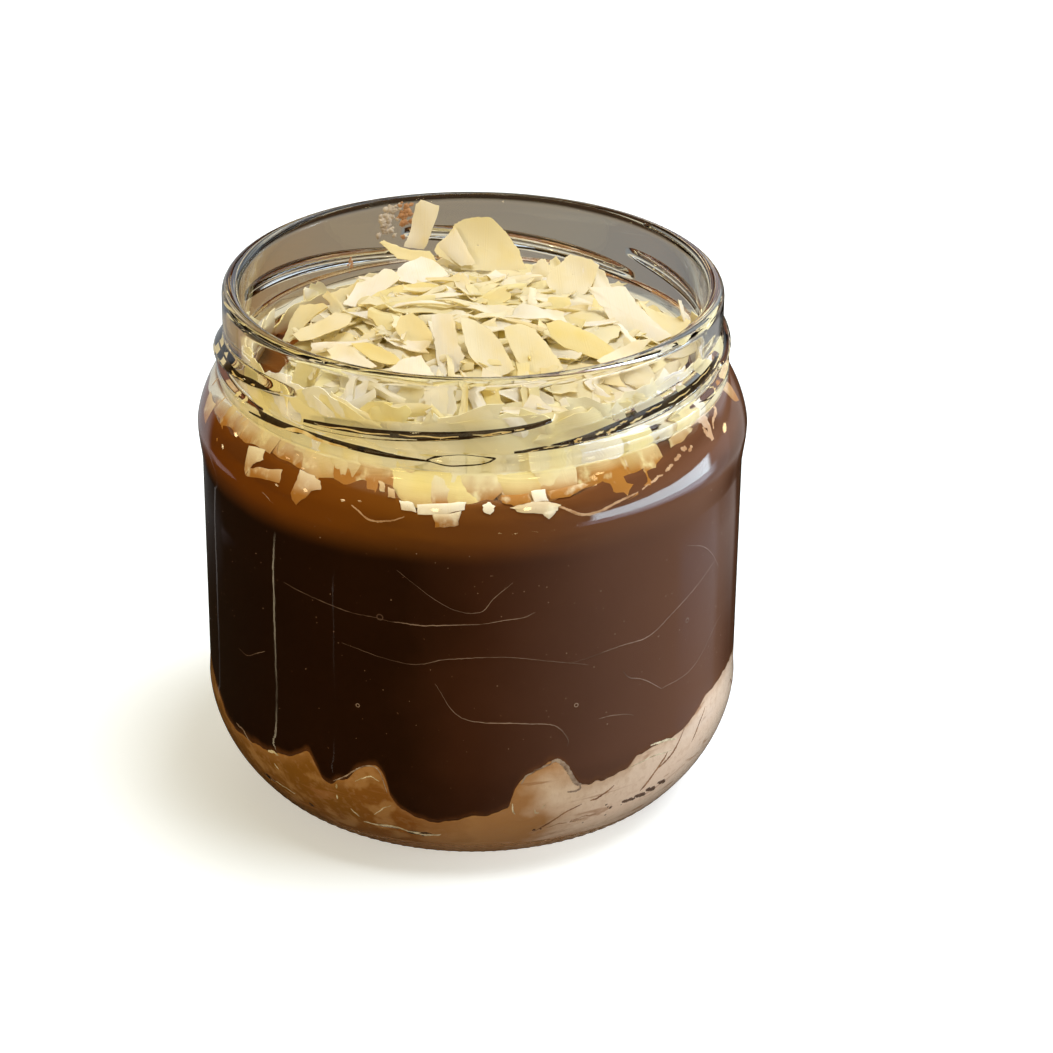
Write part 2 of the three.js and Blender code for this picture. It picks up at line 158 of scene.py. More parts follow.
def ripple(azimuth, seed, lowest, highest, size):
    """A small uneven ripple that closes on itself round the jar."""
    draw = np.random.default_rng(seed)
    total = 0 * azimuth
    for turns in range(lowest, highest):
        total = total + draw.normal() * np.sin(np.radians(azimuth) * turns + draw.uniform(0, 7))
    return total * size / math.sqrt(highest - lowest)


def cream_edge(azimuth):
    fine = ripple(azimuth, 3, 30, 90, 0.12 * mm) + ripple(azimuth, 4, 90, 180, 0.08 * mm)
    return edge_at(azimuth, CREAM_EDGE) + fine


def sauce_edge(azimuth):
    return edge_at(azimuth, SAUCE_EDGE) + ripple(azimuth, 5, 20, 70, 0.15 * mm)


def dome_height(radius):
    """The surface on which the shavings lie."""
    outer = np.maximum(0, (radius - DOME_SHOULDER) / DOME_EDGE)
    return DOME_TOP - DOME_FALL * (radius / DOME_SHOULDER) ** 2 - DOME_EDGE_FALL * outer**2


def within_turn(azimuth):
    """The same azimuth between -180 and 180."""
    return (azimuth + 180) % 360 - 180


def azimuth_of(x, y):
    return np.degrees(np.arctan2(x, -y))


def polar(radius, azimuth, height):
    turn = np.radians(azimuth)
    return np.stack(
        np.broadcast_arrays(radius * np.sin(turn), -radius * np.cos(turn), height), axis=-1
    )


# ----------------------------------------------------------------------------- modelling helpers


def deselect():
    bpy.ops.object.select_all(action="DESELECT")


def pick(obj):
    """Makes one object the selected and active one."""
    deselect()
    obj.select_set(True)
    bpy.context.view_layer.objects.active = obj


def points_of(obj):
    co = np.empty(len(obj.data.vertices) * 3)
    obj.data.vertices.foreach_get("co", co)
    return co.reshape(-1, 3)


def set_points(obj, co):
    obj.data.vertices.foreach_set("co", np.asarray(co, float).ravel())
    obj.data.update()


def spun(name, profile, steps):
    """A round form: one point is extruded along a profile of (radius, height), then screwed."""
    profile = [(float(radius), float(height)) for radius, height in profile]
    deselect()
    bpy.ops.mesh.primitive_plane_add(size=mm)
    obj = bpy.context.object
    obj.name = obj.data.name = name
    bpy.ops.object.mode_set(mode="EDIT")
    bpy.ops.mesh.merge(type="CENTER")
    first = profile[0]
    bpy.ops.transform.translate(value=(first[0], 0, first[1]))
    for near, far in pairwise(profile):
        step = (far[0] - near[0], 0, far[1] - near[1])
        bpy.ops.mesh.extrude_region_move(TRANSFORM_OT_translate={"value": step})
    bpy.ops.object.mode_set(mode="OBJECT")
    turn = obj.modifiers.new("turn", "SCREW")
    turn.steps = turn.render_steps = steps
    turn.use_merge_vertices, turn.merge_threshold = True, mm / 500
    bpy.ops.object.modifier_apply(modifier=turn.name)
    bpy.ops.object.mode_set(mode="EDIT")
    bpy.ops.mesh.select_all(action="SELECT")
    bpy.ops.mesh.remove_doubles(threshold=mm / 500)
    bpy.ops.mesh.normals_make_consistent(inside=False)
    bpy.ops.object.mode_set(mode="OBJECT")
    bpy.ops.object.shade_smooth()
    return obj


def reshape(obj, move):
    """Moves each point of a round form: move(azimuth, radius, height) gives (radius, height)."""
    co = points_of(obj)
    radius = np.hypot(co[:, 0], co[:, 1])
    azimuth = azimuth_of(co[:, 0], co[:, 1])
    new_radius, new_height = move(azimuth, radius, co[:, 2])
    set_points(obj, polar(new_radius, azimuth, new_height))


def add_attribute(obj, title, values):
    layer = obj.data.attributes.new(title, "FLOAT", "POINT")
    layer.data.foreach_set("value", np.asarray(values, np.float32))


def linked(name, data):
    """A new object in the scene for a mesh, a lamp or a camera."""
    obj = bpy.data.objects.new(name, data)
    bpy.context.collection.objects.link(obj)
    return obj


def joined(name, parts, faces, attributes=()):
    """One mesh from lists of points and faces, with named point attributes."""
    mesh = bpy.data.meshes.new(name)
    mesh.from_pydata(np.vstack(parts).tolist(), [], faces)
    mesh.polygons.foreach_set("use_smooth", [True] * len(mesh.polygons))
    obj = linked(name, mesh)
    for title, values in dict(attributes).items():
        add_attribute(obj, title, values)
    return obj


def ring_faces(first, count, rows, order=(0, 1, 3, 2)):
    """Faces between closed rings of points: each joins two of a ring to two of the next one."""
    faces = []
    for row in range(rows):
        start = first + row * count
        for i in range(count):
            j = (i + 1) % count
            corners = start + i, start + j, start + count + i, start + count + j
            faces.append(tuple(corners[k] for k in order))
    return faces


def strip_faces(first, count, rows):
    """Faces between open rows of points."""
    corners = (first + row * count + i for row in range(rows) for i in range(count - 1))
    return [(a, a + 1, a + 1 + count, a + count) for a in corners]


def sheet_faces(stations, lanes):
    """Faces of a thin closed sheet: its upper and its lower side, then the edge between them."""
    wide = lanes + 1
    count = (stations + 1) * wide
    faces = []
    for i in range(stations):
        for j in range(lanes):
            a = i * wide + j
            b, c, d = a + wide, a + wide + 1, a + 1
            faces += [(a, b, c), (a, c, d)]
            faces += [(count + a, count + c, count + b), (count + a, count + d, count + c)]
    edge = [i * wide for i in range(stations)]
    edge += [stations * wide + j for j in range(lanes)]
    edge += [(stations - i) * wide + lanes for i in range(stations)]
    edge += [lanes - j for j in range(lanes)]
    for near, far in zip(edge, edge[1:] + edge[:1]):
        faces.append((near, count + near, count + far, far))
    return faces


def hand_in(obj, material, slot, *nodes):
    """Gives a finished piece its material and body, and the nodes that it stands for. Its slot is
    not used.
    """
    obj.data.materials.clear()
    obj.data.materials.append(material)
    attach(obj, "root")
    if nodes:
        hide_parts(*nodes)
    return obj


# -------------------------------------------------------------------------------- shader helpers


class Sock:
    """A shader socket that takes part in Python expressions."""

    def __init__(self, paint, socket):
        self.paint, self.socket = paint, socket

    def maths(self, operation, first, second=0.0):
        return self.paint.add("ShaderNodeMath", {"operation": operation}, {0: first, 1: second})

    def __add__(self, other):
        return self.maths("ADD", self, other)

    def __sub__(self, other):
        return self.maths("SUBTRACT", self, other)

    def __rsub__(self, other):
        return self.maths("SUBTRACT", other, self)

    def __mul__(self, other):
        return self.maths("MULTIPLY", self, other)

    __radd__, __rmul__ = __add__, __mul__

    def most(self, other):
        return self.maths("MAXIMUM", self, other)

    def step(self, low, high):
        """A smooth step of this value from 0 at low to 1 at high."""
        return self.paint.add(
            "ShaderNodeMapRange",
            {"interpolation_type": "SMOOTHSTEP"},
            {"Value": self, "From Min": low, "From Max": high},
        )

    def between(self, low, high, soft):
        """1 between low and high, with soft edges."""
        return self.step(low - soft, low) * (1 - self.step(high, high + soft))


MIX_FIRST, MIX_SECOND, MIX_COLOUR = 6, 7, 2  # the numbers of a Mix node's colour sockets


class Paint:
    """The node tree of a material or of the world."""

    def __init__(self, owner):
        owner.use_nodes = True
        self.tree = owner.node_tree
        self.tree.nodes.clear()

    def add(self, kind, settings=None, inputs=None, outputs=(0,)):
        """Adds a node: its settings first, then the values or links of its sockets.

        Gives back its output, or a list where several or none are asked for.
        """
        node = self.tree.nodes.new(kind)
        for name, setting in (settings or {}).items():
            if name == "stops":
                self.set_stops(node.color_ramp, setting)
            else:
                setattr(node, name, setting)
        for name, given in (inputs or {}).items():
            if isinstance(given, Sock):
                self.tree.links.new(given.socket, node.inputs[name])
            else:
                node.inputs[name].default_value = given
        found = [Sock(self, node.outputs[each]) for each in outputs]
        return found[0] if len(found) == 1 else found

    @staticmethod
    def set_stops(ramp, stops):
        for extra in stops[2:]:
            ramp.elements.new(extra[0])
        for element, (place, color) in zip(ramp.elements, sorted(stops)):
            element.position, element.color = place, (*color, 1)

    def ramp(self, value, stops):
        return self.add("ShaderNodeValToRGB", {"stops": stops}, {"Fac": value})

    def blend(self, share, first, second, way="MIX"):
        first, second = (c if isinstance(c, Sock) else (*c, 1) for c in (first, second))
        settings = {"data_type": "RGBA", "blend_type": way}
        inputs = {0: share, MIX_FIRST: first, MIX_SECOND: second}
        return self.add("ShaderNodeMix", settings, inputs, (MIX_COLOUR,))

    def place(self, scale=(1, 1, 1)):
        """Object coordinates in millimetres, stretched by a scale."""
        coordinates = self.add("ShaderNodeTexCoord", outputs=("Object",))
        size = tuple(s / mm for s in scale)
        return self.add("ShaderNodeMapping", None, {"Vector": coordinates, "Scale": size})

    def split(self, vector):
        return self.add("ShaderNodeSeparateXYZ", None, {0: vector}, "XYZ")

    def noise(self, vector, scale, detail=2.0, roughness=0.5, distortion=0.0):
        inputs = {"Vector": vector, "Scale": scale, "Detail": detail}
        inputs |= {"Roughness": roughness, "Distortion": distortion}
        return self.add("ShaderNodeTexNoise", None, inputs)

    def attribute(self, title):
        return self.add("ShaderNodeAttribute", {"attribute_name": title}, outputs=("Fac",))

    def bump(self, height, strength, distance):
        inputs = {"Height": height, "Strength": strength, "Distance": distance}
        return self.add("ShaderNodeBump", None, inputs)

    def shine(self, colour, roughness, inputs):
        """A Principled shader."""
        inputs = {"Base Color": colour, "Roughness": roughness} | inputs
        return self.add("ShaderNodeBsdfPrincipled", None, inputs)

    def mixed(self, share, first, second):
        return self.add("ShaderNodeMixShader", None, {0: share, 1: first, 2: second})

    def light_path(self, *kinds):
        """1 for rays of each kind, such as Camera, else 0."""
        return self.add("ShaderNodeLightPath", outputs=[f"Is {kind} Ray" for kind in kinds])

    def finish(self, shader, kind="ShaderNodeOutputMaterial"):
        self.add(kind, None, {0: shader}, ())


def material(name):
    made = bpy.data.materials.new(name)
    return made, Paint(made)


# --------------------------------------------------------------------------------------- finishes

GLASS_TINT = (0.98, 0.985, 0.975, 1)
GLASS_SHADE = (0.98, 0.98, 0.97, 1)
IVORY, IVORY_PALE, IVORY_DEEP = (0.84, 0.79, 0.55), (0.93, 0.93, 0.97), (0.83, 0.70, 0.25)
IVORY_THROUGH = (0.87, 0.74, 0.24, 1)
SAUCE_STAIN = (0.42, 0.18, 0.035)


def clear_glass():
    """Clear glass with a slight swell. Lamps and soft light pass straight through it."""
    made, paint = material("clear glass")
    place = paint.place()
    swell = paint.noise(place, 0.09, 1.0) + paint.noise(place, 0.4, 1.0) * 0.1
    normal = paint.bump(swell, 0.1, 0.35 * mm)
    glass = paint.shine(
        GLASS_TINT, 0.0, {"IOR": 1.5, "Transmission Weight": 1.0, "Normal": normal}
    )
    through = paint.add("ShaderNodeBsdfTransparent", None, {"Color": GLASS_SHADE})
    shadow, soft = paint.light_path("Shadow", "Diffuse")
    paint.finish(paint.mixed(shadow.most(soft), glass, through))
    return made


def sauce_finish():
    """Dark chocolate, caramel brown where it thins over the cream. Painted shade darkens it on the
    left, painted light lightens it on the right, and a band of painted light from above turns it
    caramel brown under the shoulder.
    """
    made, paint = material("chocolate sauce")
    place = paint.place()
    x, y, z = paint.split(place)
    cloud = paint.noise(place, 0.05, 3.0)
    # Painted shade and light: side runs from the darker left to the lighter right.
    side = (x + cloud * 20 - 10).step(-42, 42)
    base = paint.ramp(
        side,
        [(0.0, (0.010, 0.0026, 0.0004)), (0.28, (0.020, 0.0056, 0.001)),
         (0.5, (0.052, 0.0165, 0.007)), (1.0, (0.105, 0.041, 0.023))],
    )
    above = paint.attribute("above_cream") + paint.noise(place, 0.35, 3.0) * 1.2 - 0.6
    film = paint.blend((1 - above.step(0.0, 1.3)) * 0.6, base, (0.15, 0.055, 0.016))
    # Painted light from above under the shoulder, set from left to right; warm blends it in there.
    high = paint.ramp(
        side,
        [(0.0, (0.16, 0.043, 0.002)), (0.3, (0.185, 0.062, 0.006)), (0.6, (0.180, 0.064, 0.016)),
         (1.0, (0.135, 0.056, 0.032))],
    )
    warm = (z + cloud * 2 - 1).step(55.8, 61.5)
    colour = paint.blend(warm, film, high)
    smear = paint.noise(paint.place((0.05, 0.05, 0.3)), 1.0, 3.0).step(0.45, 0.7)
    colour = paint.blend(smear * warm * 0.45, colour, (0.07, 0.024, 0.008))
    flecks = paint.noise(place, 1.5, 2.0).step(0.74, 0.80)
    colour = paint.blend(flecks * 0.4, colour, (0.22, 0.12, 0.075))
    normal = paint.bump(paint.noise(place, 0.3, 2.0), 0.15, 0.2 * mm)
    paint.finish(paint.shine(colour, 0.45, {"Specular IOR Level": 0.12, "Normal": normal}))
    return made


def cream_finish():
    """Pale cream, caramel brown on the left, with brown streaks and dark specks; painted shade
    darkens it further on the left and painted light lightens it on the right.
    """
    made, paint = material("cream")
    place = paint.place()
    x, y, z = paint.split(place)
    cloud = paint.noise(place, 0.13, 3.0)
    # Partly the cream's own colour and partly painted shade and light: caramel and darker on the
    # left, pale and lighter on the right.
    side = (x + cloud * 22 - 11).step(-30, 26)
    body = paint.ramp(
        side,
        [(0.0, (0.23, 0.098, 0.011)), (0.3, (0.275, 0.105, 0.016)), (0.55, (0.52, 0.28, 0.12)),
         (0.75, (0.50, 0.26, 0.11)), (0.92, (0.93, 0.76, 0.65))],
    )
    patchy = paint.noise(place, 0.22, 3.0).step(0.50, 0.62) * (1 - side.step(0.2, 0.7))
    body = paint.blend(patchy * 0.55, body, (0.52, 0.30, 0.13))
    depth = paint.attribute("below_edge") + paint.noise(place, 0.3, 3.0) * 3 - 1.5
    body = paint.blend((1 - depth.step(0.0, 2.4)) * 0.45, body, (0.44, 0.23, 0.10))
    slanted = paint.add(
        "ShaderNodeMapping",
        None,
        {"Vector": place, "Rotation": (0.0, math.radians(-40), 0.0), "Scale": (0.08, 0.3, 1.0)},
    )
    streaks = paint.noise(slanted, 0.5, 4.0, 0.6, 0.6).step(0.56, 0.68)
    body = paint.blend(streaks * 0.62, body, (0.38, 0.175, 0.07))
    specks = paint.noise(place, 1.2, 3.0, 0.7).step(0.72, 0.77)
    body = paint.blend(specks * 0.7, body, (0.07, 0.028, 0.011))
    mottle = paint.noise(place, 0.9, 3.0).step(0.52, 0.66)
    body = paint.blend(mottle * 0.2, body, (0.50, 0.30, 0.17))
    normal = paint.bump(paint.noise(place, 0.8, 4.0), 0.5, 0.25 * mm)
    paint.finish(paint.shine(body, 0.55, {"Specular IOR Level": 0.2, "Normal": normal}))
    return made


def shaving_finish(name, deep=0.0, thin=0.36, lit=0.0):
    """Ivory shavings with fine lines from the blade, each a little different, some stained.

    The share thin of the light that falls on one side shows through on the other. A shaving
    glows by itself by lit, as painted light; deep gives it a deeper golden colour, as painted
    shade.
    """
    made, paint = material(name)
    place = paint.place()
    tone, across, stain, gold = (paint.attribute(n) for n in ("tone", "across", "stain", "gold"))
    colour = paint.blend(tone, IVORY, IVORY_PALE)
    patchy = paint.noise(place, 0.25, 2.0).step(0.45, 0.75) * 0.25 + deep + gold
    colour = paint.blend(patchy, colour, IVORY_DEEP)
    lines = paint.add(
        "ShaderNodeTexNoise", {"noise_dimensions": "1D"}, {"W": across + tone * 9, "Scale": 5.0}
    )
    colour = paint.blend(lines.step(0.55, 0.8) * 0.16, colour, IVORY_DEEP)
    wet = stain * paint.noise(place, 0.5, 3.0).step(0.15, 0.5)
    colour = paint.blend(wet, colour, SAUCE_STAIN)
    normal = paint.bump(lines + paint.noise(place, 1.6, 2.0) * 0.5, 0.3, 0.1 * mm)
    inputs = {"Specular IOR Level": 0.35, "Normal": normal}
    inputs |= {"Emission Color": colour, "Emission Strength": lit}
    through = paint.add("ShaderNodeBsdfTranslucent", None, {"Color": IVORY_THROUGH})
    paint.finish(paint.mixed(thin, paint.shine(colour, 0.4, inputs), through))
    return made


def plain_finish(name, dark, light, roughness, scale=0.8):
    """A mottled finish between two colours."""
    made, paint = material(name)
    mottle = paint.noise(paint.place(), scale, 3.0)
    colour = paint.ramp(mottle, [(0.35, dark), (0.65, light)])
    normal = paint.bump(mottle, 0.3, 0.1 * mm)
    paint.finish(paint.shine(colour, roughness, {"Specular IOR Level": 0.3, "Normal": normal}))
    return made


# ------------------------------------------------------------------------------------------- jar


def quarter(start, end, power, steps, radius_first=True):
    """Points of a superellipse's quarter between two profile points, without the first."""
    turn = np.linspace(0, math.pi / 2, steps + 1)[1:]
    early = np.sin(turn) ** (2 / power)
    late = 1 - np.maximum(np.cos(turn), 0) ** (2 / power)
    by_radius, by_height = (early, late) if radius_first else (late, early)
    radii, heights = mix(start[0], end[0], by_radius), mix(start[1], end[1], by_height)
    return list(zip(radii.tolist(), heights.tolist()))


def stretch(start, end, steps):
    """Evenly spaced points from start to end, without the first."""
    return [
        (mix(start[0], end[0], i / steps), mix(start[1], end[1], i / steps))
        for i in range(1, steps + 1)
    ]


def jar_profile():
    wall_top = RIM_TOP - RIM_CORNER
    rim_middle = (FINISH_RADIUS + NECK_RADIUS) / 2
    points = [(0, FOOT_RISE)]
    points += stretch(points[-1], (FOOT_IN - 4 * mm, FOOT_RISE * 0.8), 3)
    points += quarter(points[-1], (FOOT_IN, 0), 2, 4)
    points += stretch(points[-1], (FOOT_OUT, 0), 2)
    points += quarter(points[-1], (HEEL_RADIUS, HEEL_TOP), HEEL_POWER, 22)
    points += stretch(points[-1], (PANEL_RADIUS, PANEL_LOW), 3)
    points += stretch(points[-1], (PANEL_RADIUS, PANEL_HIGH), 6)
    for height in np.linspace(PANEL_HIGH, SHOULDER_HEIGHT, 8)[1:]:
        swell = smooth(height, PANEL_HIGH - 0.6 * mm, SHOULDER_HEIGHT)
        points.append((float(mix(PANEL_RADIUS, BODY_REACH, swell)), float(height)))
    points += quarter(points[-1], (GROOVE_RADIUS, GROOVE_HEIGHT), SHOULDER_POWER, 14, False)
    for turn in np.linspace(-1, 1, 9):
        bulge = math.sqrt(max(0, 1 - turn * turn)) ** 0.8
        points.append((mix(GROOVE_RADIUS, BEAD_RADIUS, bulge), BEAD_HEIGHT + BEAD_HALF * turn))
    points += quarter(points[-1], (FINISH_RADIUS, FINISH_LOW + 0.2 * mm), 2, 3)
    points += stretch(points[-1], (FINISH_RADIUS, wall_top), 56)
    points += quarter(points[-1], (rim_middle, RIM_TOP), 2, 8, False)
    points += quarter(points[-1], (NECK_RADIUS, wall_top), 2, 8)
    heights = np.concatenate(
        [
            np.linspace(wall_top, NECK_LOW, 6)[1:],
            np.linspace(NECK_LOW, INNER_SHOULDER_LOW, 20)[1:],
            np.linspace(INNER_SHOULDER_LOW, INNER_HEEL_TOP, 4)[1:],
            INNER_HEEL_TOP - (INNER_HEEL_TOP - FLOOR_TOP) * np.sin(np.linspace(0, 1.5, 13)[1:]),
        ]
    )
    points += list(zip(cavity_radius(heights).tolist(), heights.tolist()))
    points += stretch(points[-1], (FLOOR_RADIUS - 2 * mm, FLOOR_TOP), 2)
    points.append((0, FLOOR_TOP))
    return points


def thread_relief(azimuth, height):
    """How far the interrupted screw ridges stand out of the neck."""
    relief = 0 * azimuth
    for i in range(THREADS):
        start = THREAD_START + i * 360 / THREADS
        along = ((azimuth - start + 90) % 360 - 90) / THREAD_SPAN
        inside = np.clip(along, 0, 1)
        fullness = np.sin(math.pi * inside) ** 0.4 * ((along >= 0) & (along <= 1))
        middle = THREAD_LOW + THREAD_RISE * inside
        off = (height - middle) / (THREAD_HALF * (0.35 + 0.65 * fullness))
        above = 1 - np.clip((off - THREAD_CREST) / (1 - THREAD_CREST), 0, 1) ** 1.6
        ridge = np.where(off > THREAD_CREST, above, smooth(off, -1, THREAD_CREST))
        relief = np.maximum(relief, THREAD_PROUD * fullness * ridge)
    return relief


def glass_jar():
    jar = spun("jar_glass", jar_profile(), ROUND_STEPS)

    def press(azimuth, radius, height):
        outside = radius > FINISH_RADIUS - 0.4 * mm
        neck = outside & (height > BEAD_HEIGHT) & (height < RIM_TOP - RIM_CORNER)
        foot = (radius > FOOT_OUT) & (height > KNURL_LOW) & (height < KNURL_HIGH)
        foot = foot & (radius > cavity_radius(np.maximum(height, FLOOR_TOP + mm)) + mm)
        knurl = np.maximum(0, np.cos(np.radians(azimuth) * KNURLS)) * KNURL_DEPTH
        band = np.sin(np.clip((height - KNURL_LOW) / (KNURL_HIGH - KNURL_LOW), 0, 1) * math.pi)
        return radius + thread_relief(azimuth, height) * neck + knurl * band * foot, height

    reshape(jar, press)
    return hand_in(jar, clear_glass(), "clear_glass", "glass_jar")


# --------------------------------------------------------------------------------------- contents


def wall_points(low, high, number):
    return [(cavity_radius(z) + WET, z) for z in np.linspace(low, high, number)]


def level_points(height, *shares):
    """Points of a profile on one level, at shares of the jar's inside radius."""
    return [(cavity_radius(height) * share, height) for share in shares]


def chocolate_sauce():
    low, high, middle = 16 * mm, 66 * mm, 40 * mm
    profile = level_points(low, 0, 0.3, 0.6, 0.8, 0.92, 0.97)
    profile += wall_points(low, high, 84) + level_points(high, 0.985, 0.95, 0.85, 0.7, 0.4, 0)
    sauce = spun("sauce", profile, ROUND_STEPS)
    found = {}

    def fit(azimuth, radius, height):
        edge, top = cream_edge(azimuth), sauce_edge(azimuth)
        lower = height < middle
        down, up = (middle - height) / (middle - low), (height - middle) / (high - middle)
        at_height = np.where(lower, mix(middle, edge, down), mix(middle, top, up))
        reach = cavity_radius(height)
        at_wall = radius > reach + WET / 2
        share = np.where(at_wall, 1, radius / reach)
        flat = np.where(lower, mix(CREAM_MIDDLE, edge, share**2), mix(SAUCE_MIDDLE, top, share**2))
        risen = np.where(at_wall, at_height, flat)
        found["above"], found["reach"] = (risen - edge) / mm, cavity_radius(risen)
        return np.where(at_wall, found["reach"] + WET, share * found["reach"]), risen

    reshape(sauce, fit)
    add_attribute(sauce, "above_cream", found["above"])
    return hand_in(sauce, sauce_finish(), "chocolate_sauce", "chocolate_sauce")


# Hollows where the cream stands clear of the glass: azimuth, height, half width and half height,
# in degrees and mm.
AIR_POCKETS = (
    (-13, 7.7, 4.0, 0.45), (-21, 8.3, 3.0, 0.3), (-56, 9.6, 2.6, 0.5), (26, 8.8, 2.0, 0.25),
    (95, 14.0, 4.0, 0.5), (140, 12.0, 4.0, 0.5), (-120, 11.0, 4.0, 0.5), (-165, 13.0, 3.5, 0.5),
)
POCKET_DEPTH = 0.5 * mm
# How far the cream's edge runs up behind the sauce, and how far it leans in from the glass there.
CREAM_OVER, CREAM_LAP = 0.25 * mm, 0.3 * mm


def cream():
    low, high = 5.6 * mm, 16 * mm
    profile = [(radius, FLOOR_TOP - WET) for radius in (0, 20 * mm, FLOOR_RADIUS - 2 * mm)]
    profile += wall_points(low, high, 60) + level_points(high, 0.985, 0.95, 0.85, 0.6, 0.3, 0)
    body = spun("cream_layer", profile, CREAM_STEPS)
    found = {}

    def fit(azimuth, radius, height):
        edge = cream_edge(azimuth) + CREAM_OVER
        wall = radius > cavity_radius(height) + WET / 2
        on_top = ~wall & (height > high - mm)
        share = np.clip((height - low) / (high - low), 0, 1)
        risen = np.where(wall, mix(low, edge, share), height)
        wide = (radius / cavity_radius(high)) ** 2
        risen = np.where(on_top, mix(CREAM_MIDDLE, edge + 0.05 * mm, wide), risen)
        air = 0 * risen
        for at, up, half_wide, half_high in AIR_POCKETS:
            away = within_turn(azimuth - at) / half_wide
            off = (risen / mm - up) / half_high
            wobble = 0.3 * np.sin(azimuth * 1.7 + up)
            air = np.maximum(air, np.clip(1.2 + wobble - away**2 - off**2, 0, 1))
        found["below"] = np.where(wall, (edge - risen) / mm, 0)
        lap = CREAM_LAP * smooth(risen, edge - 0.5 * mm, edge)
        out = cavity_radius(risen) + WET - lap - air * POCKET_DEPTH
        moved = np.where(on_top, radius / cavity_radius(high) * cavity_radius(edge), radius)
        return np.where(wall, out, moved), risen

    reshape(body, fit)
    add_attribute(body, "below_edge", found["below"])
    return hand_in(body, cream_finish(), "cream", "cream")


# -------------------------------------------------------------------------- marks against the glass

# Each line is its width in mm and its points (azimuth, height in mm).
# Hairlines in the sauce:
HAIRLINES = (
    (0.11, (-43.6, 47.7), (-30.3, 46.5), (-22.3, 46.2), (-17.2, 46.0)),
    (0.17, (-17.2, 46.0), (-10.9, 45.9), (1.6, 46.5)),
    (0.10, (1.6, 46.5), (10.6, 47.3), (13.2, 48.0)),
    (0.11, (-28.5, 40.7), (-13.1, 39.0), (-4.8, 40.4), (6.9, 40.7), (20.8, 38.4), (25.2, 37.5)),
    (0.12, (20.8, 38.4), (32.5, 39.2), (40.5, 39.3), (49.2, 41.8), (63.2, 45.6)),
    (0.08, (-15.8, 54.9), (-5.3, 49.3), (1.4, 48.5), (4.5, 50.8), (8.4, 53.4)),
    (0.11, (-60.8, 30.9), (-56.9, 30.9), (-50.4, 33.7)),
    (0.15, (-7.8, 36.1), (-2.1, 30.2), (10.0, 29.0), (17.4, 28.0), (20.7, 25.2), (20.7, 23.8)),
    (0.15, (33.9, 34.7), (35.3, 33.3), (39.1, 32.0), (44.9, 28.9)),
    (0.10, (44.9, 28.9), (55.1, 29.2), (64.6, 33.2), (69.0, 34.5)),
    (0.07, (28, 27.5), (33, 27.2), (37, 26.2)), (0.07, (52, 52), (60, 49), (66, 44)),
    (0.10, (88, 52), (97, 47), (108, 45), (120, 46)), (0.12, (95, 33), (110, 36), (124, 31)),
    (0.12, (150, 40), (165, 43), (178, 41)), (0.10, (-165, 50), (-150, 46), (-134, 47)),
    (0.12, (-120, 35), (-108, 31), (-92, 33)),
)
# Trails of molten white chocolate:
PALE_LINES = (
    (0.30, (-25.6, 64.2), (-23.9, 63.5), (-21.8, 62.7), (-19.4, 62.5), (-16.9, 62.9),
     (-14.0, 63.8)),
    (0.42, (17.0, 65.2), (20.0, 64.2), (22.9, 63.3), (27.0, 63.2), (31.9, 64.0), (36.5, 64.5)),
    (0.34, (37.6, 64.6), (41.7, 65.3), (44.0, 65.5)), (0.5, (44.9, 65.7), (47.6, 66.1)),
    (0.5, (48.4, 66.4), (50.8, 66.7)), (0.6, (51.6, 67.2), (53.4, 67.0)),
    (0.5, (53.6, 66.5), (55.4, 66.9)), (0.9, (61.6, 67.6), (62.6, 66.4)),
    (0.35, (73.0, 69.6), (71.2, 68.2), (66.8, 67.5), (65.2, 66.9)),
)
# Painted highlights: small glints of light on the cream, as pale ribbons:
PAINTED_GLINTS = (
    (0.42, (-50.8, 15.6), (-49.2, 16.0), (-47.1, 16.0)), (0.3, (-49.5, 13.9), (-48.6, 13.2)),
    (0.22, (-53.1, 9.8), (-50.0, 9.6), (-46.8, 9.2)), (0.3, (-30.9, 15.0), (-31.2, 14.2)),
    (0.3, (-31.6, 12.8), (-31.9, 12.0)), (0.28, (-29.1, 10.6), (-28.4, 9.9), (-27.6, 9.3)),
    (0.34, (-27.2, 8.3), (-24.4, 8.2), (-21.3, 8.5), (-18.0, 8.4), (-15.6, 7.9), (-12.6, 7.9)),
    (0.42, (-14.6, 7.6), (-11.0, 7.5), (-7.6, 7.8)),
    (0.16, (-23.0, 10.5), (-20.4, 12.2), (-18.2, 13.2)),
    (0.26, (14.1, 12.9), (14.6, 12.1), (15.3, 12.2)), (0.2, (15.6, 12.9), (16.5, 13.7)),
    (0.26, (8.9, 14.6), (9.2, 13.0), (9.8, 12.4)), (0.2, (36.2, 16.6), (42.0, 17.0), (49.2, 16.4)),
    (0.5, (42.1, 19.3), (46.5, 18.9), (50.6, 18.0)),
    (0.18, (-26.0, 16.4), (-22.6, 17.9), (-20.2, 17.4)),
)
# Painted reflections: the bright edges of the air pockets in the cream, as lavender-grey ribbons:
POCKET_SHEENS = (
    (0.3, (10.6, 18.0), (11.6, 19.4), (13.6, 20.2)),
    (0.34, (13.3, 20.3), (15.7, 20.8), (17.6, 21.4)),
    (0.75, (17.2, 21.4), (18.6, 21.6), (20.0, 20.6), (21.4, 18.9), (22.9, 16.9), (24.3, 16.2)),
    (0.4, (24.1, 16.2), (24.0, 15.4), (21.2, 15.4)),
    (0.3, (-63.5, 16.2), (-60.4, 16.1), (-57.0, 14.6)),
    (0.22, (-31.6, 15.4), (-28.4, 16.9), (-25.2, 18.9), (-22.4, 19.9), (-20.2, 19.4),
     (-18.6, 15.6)),
)
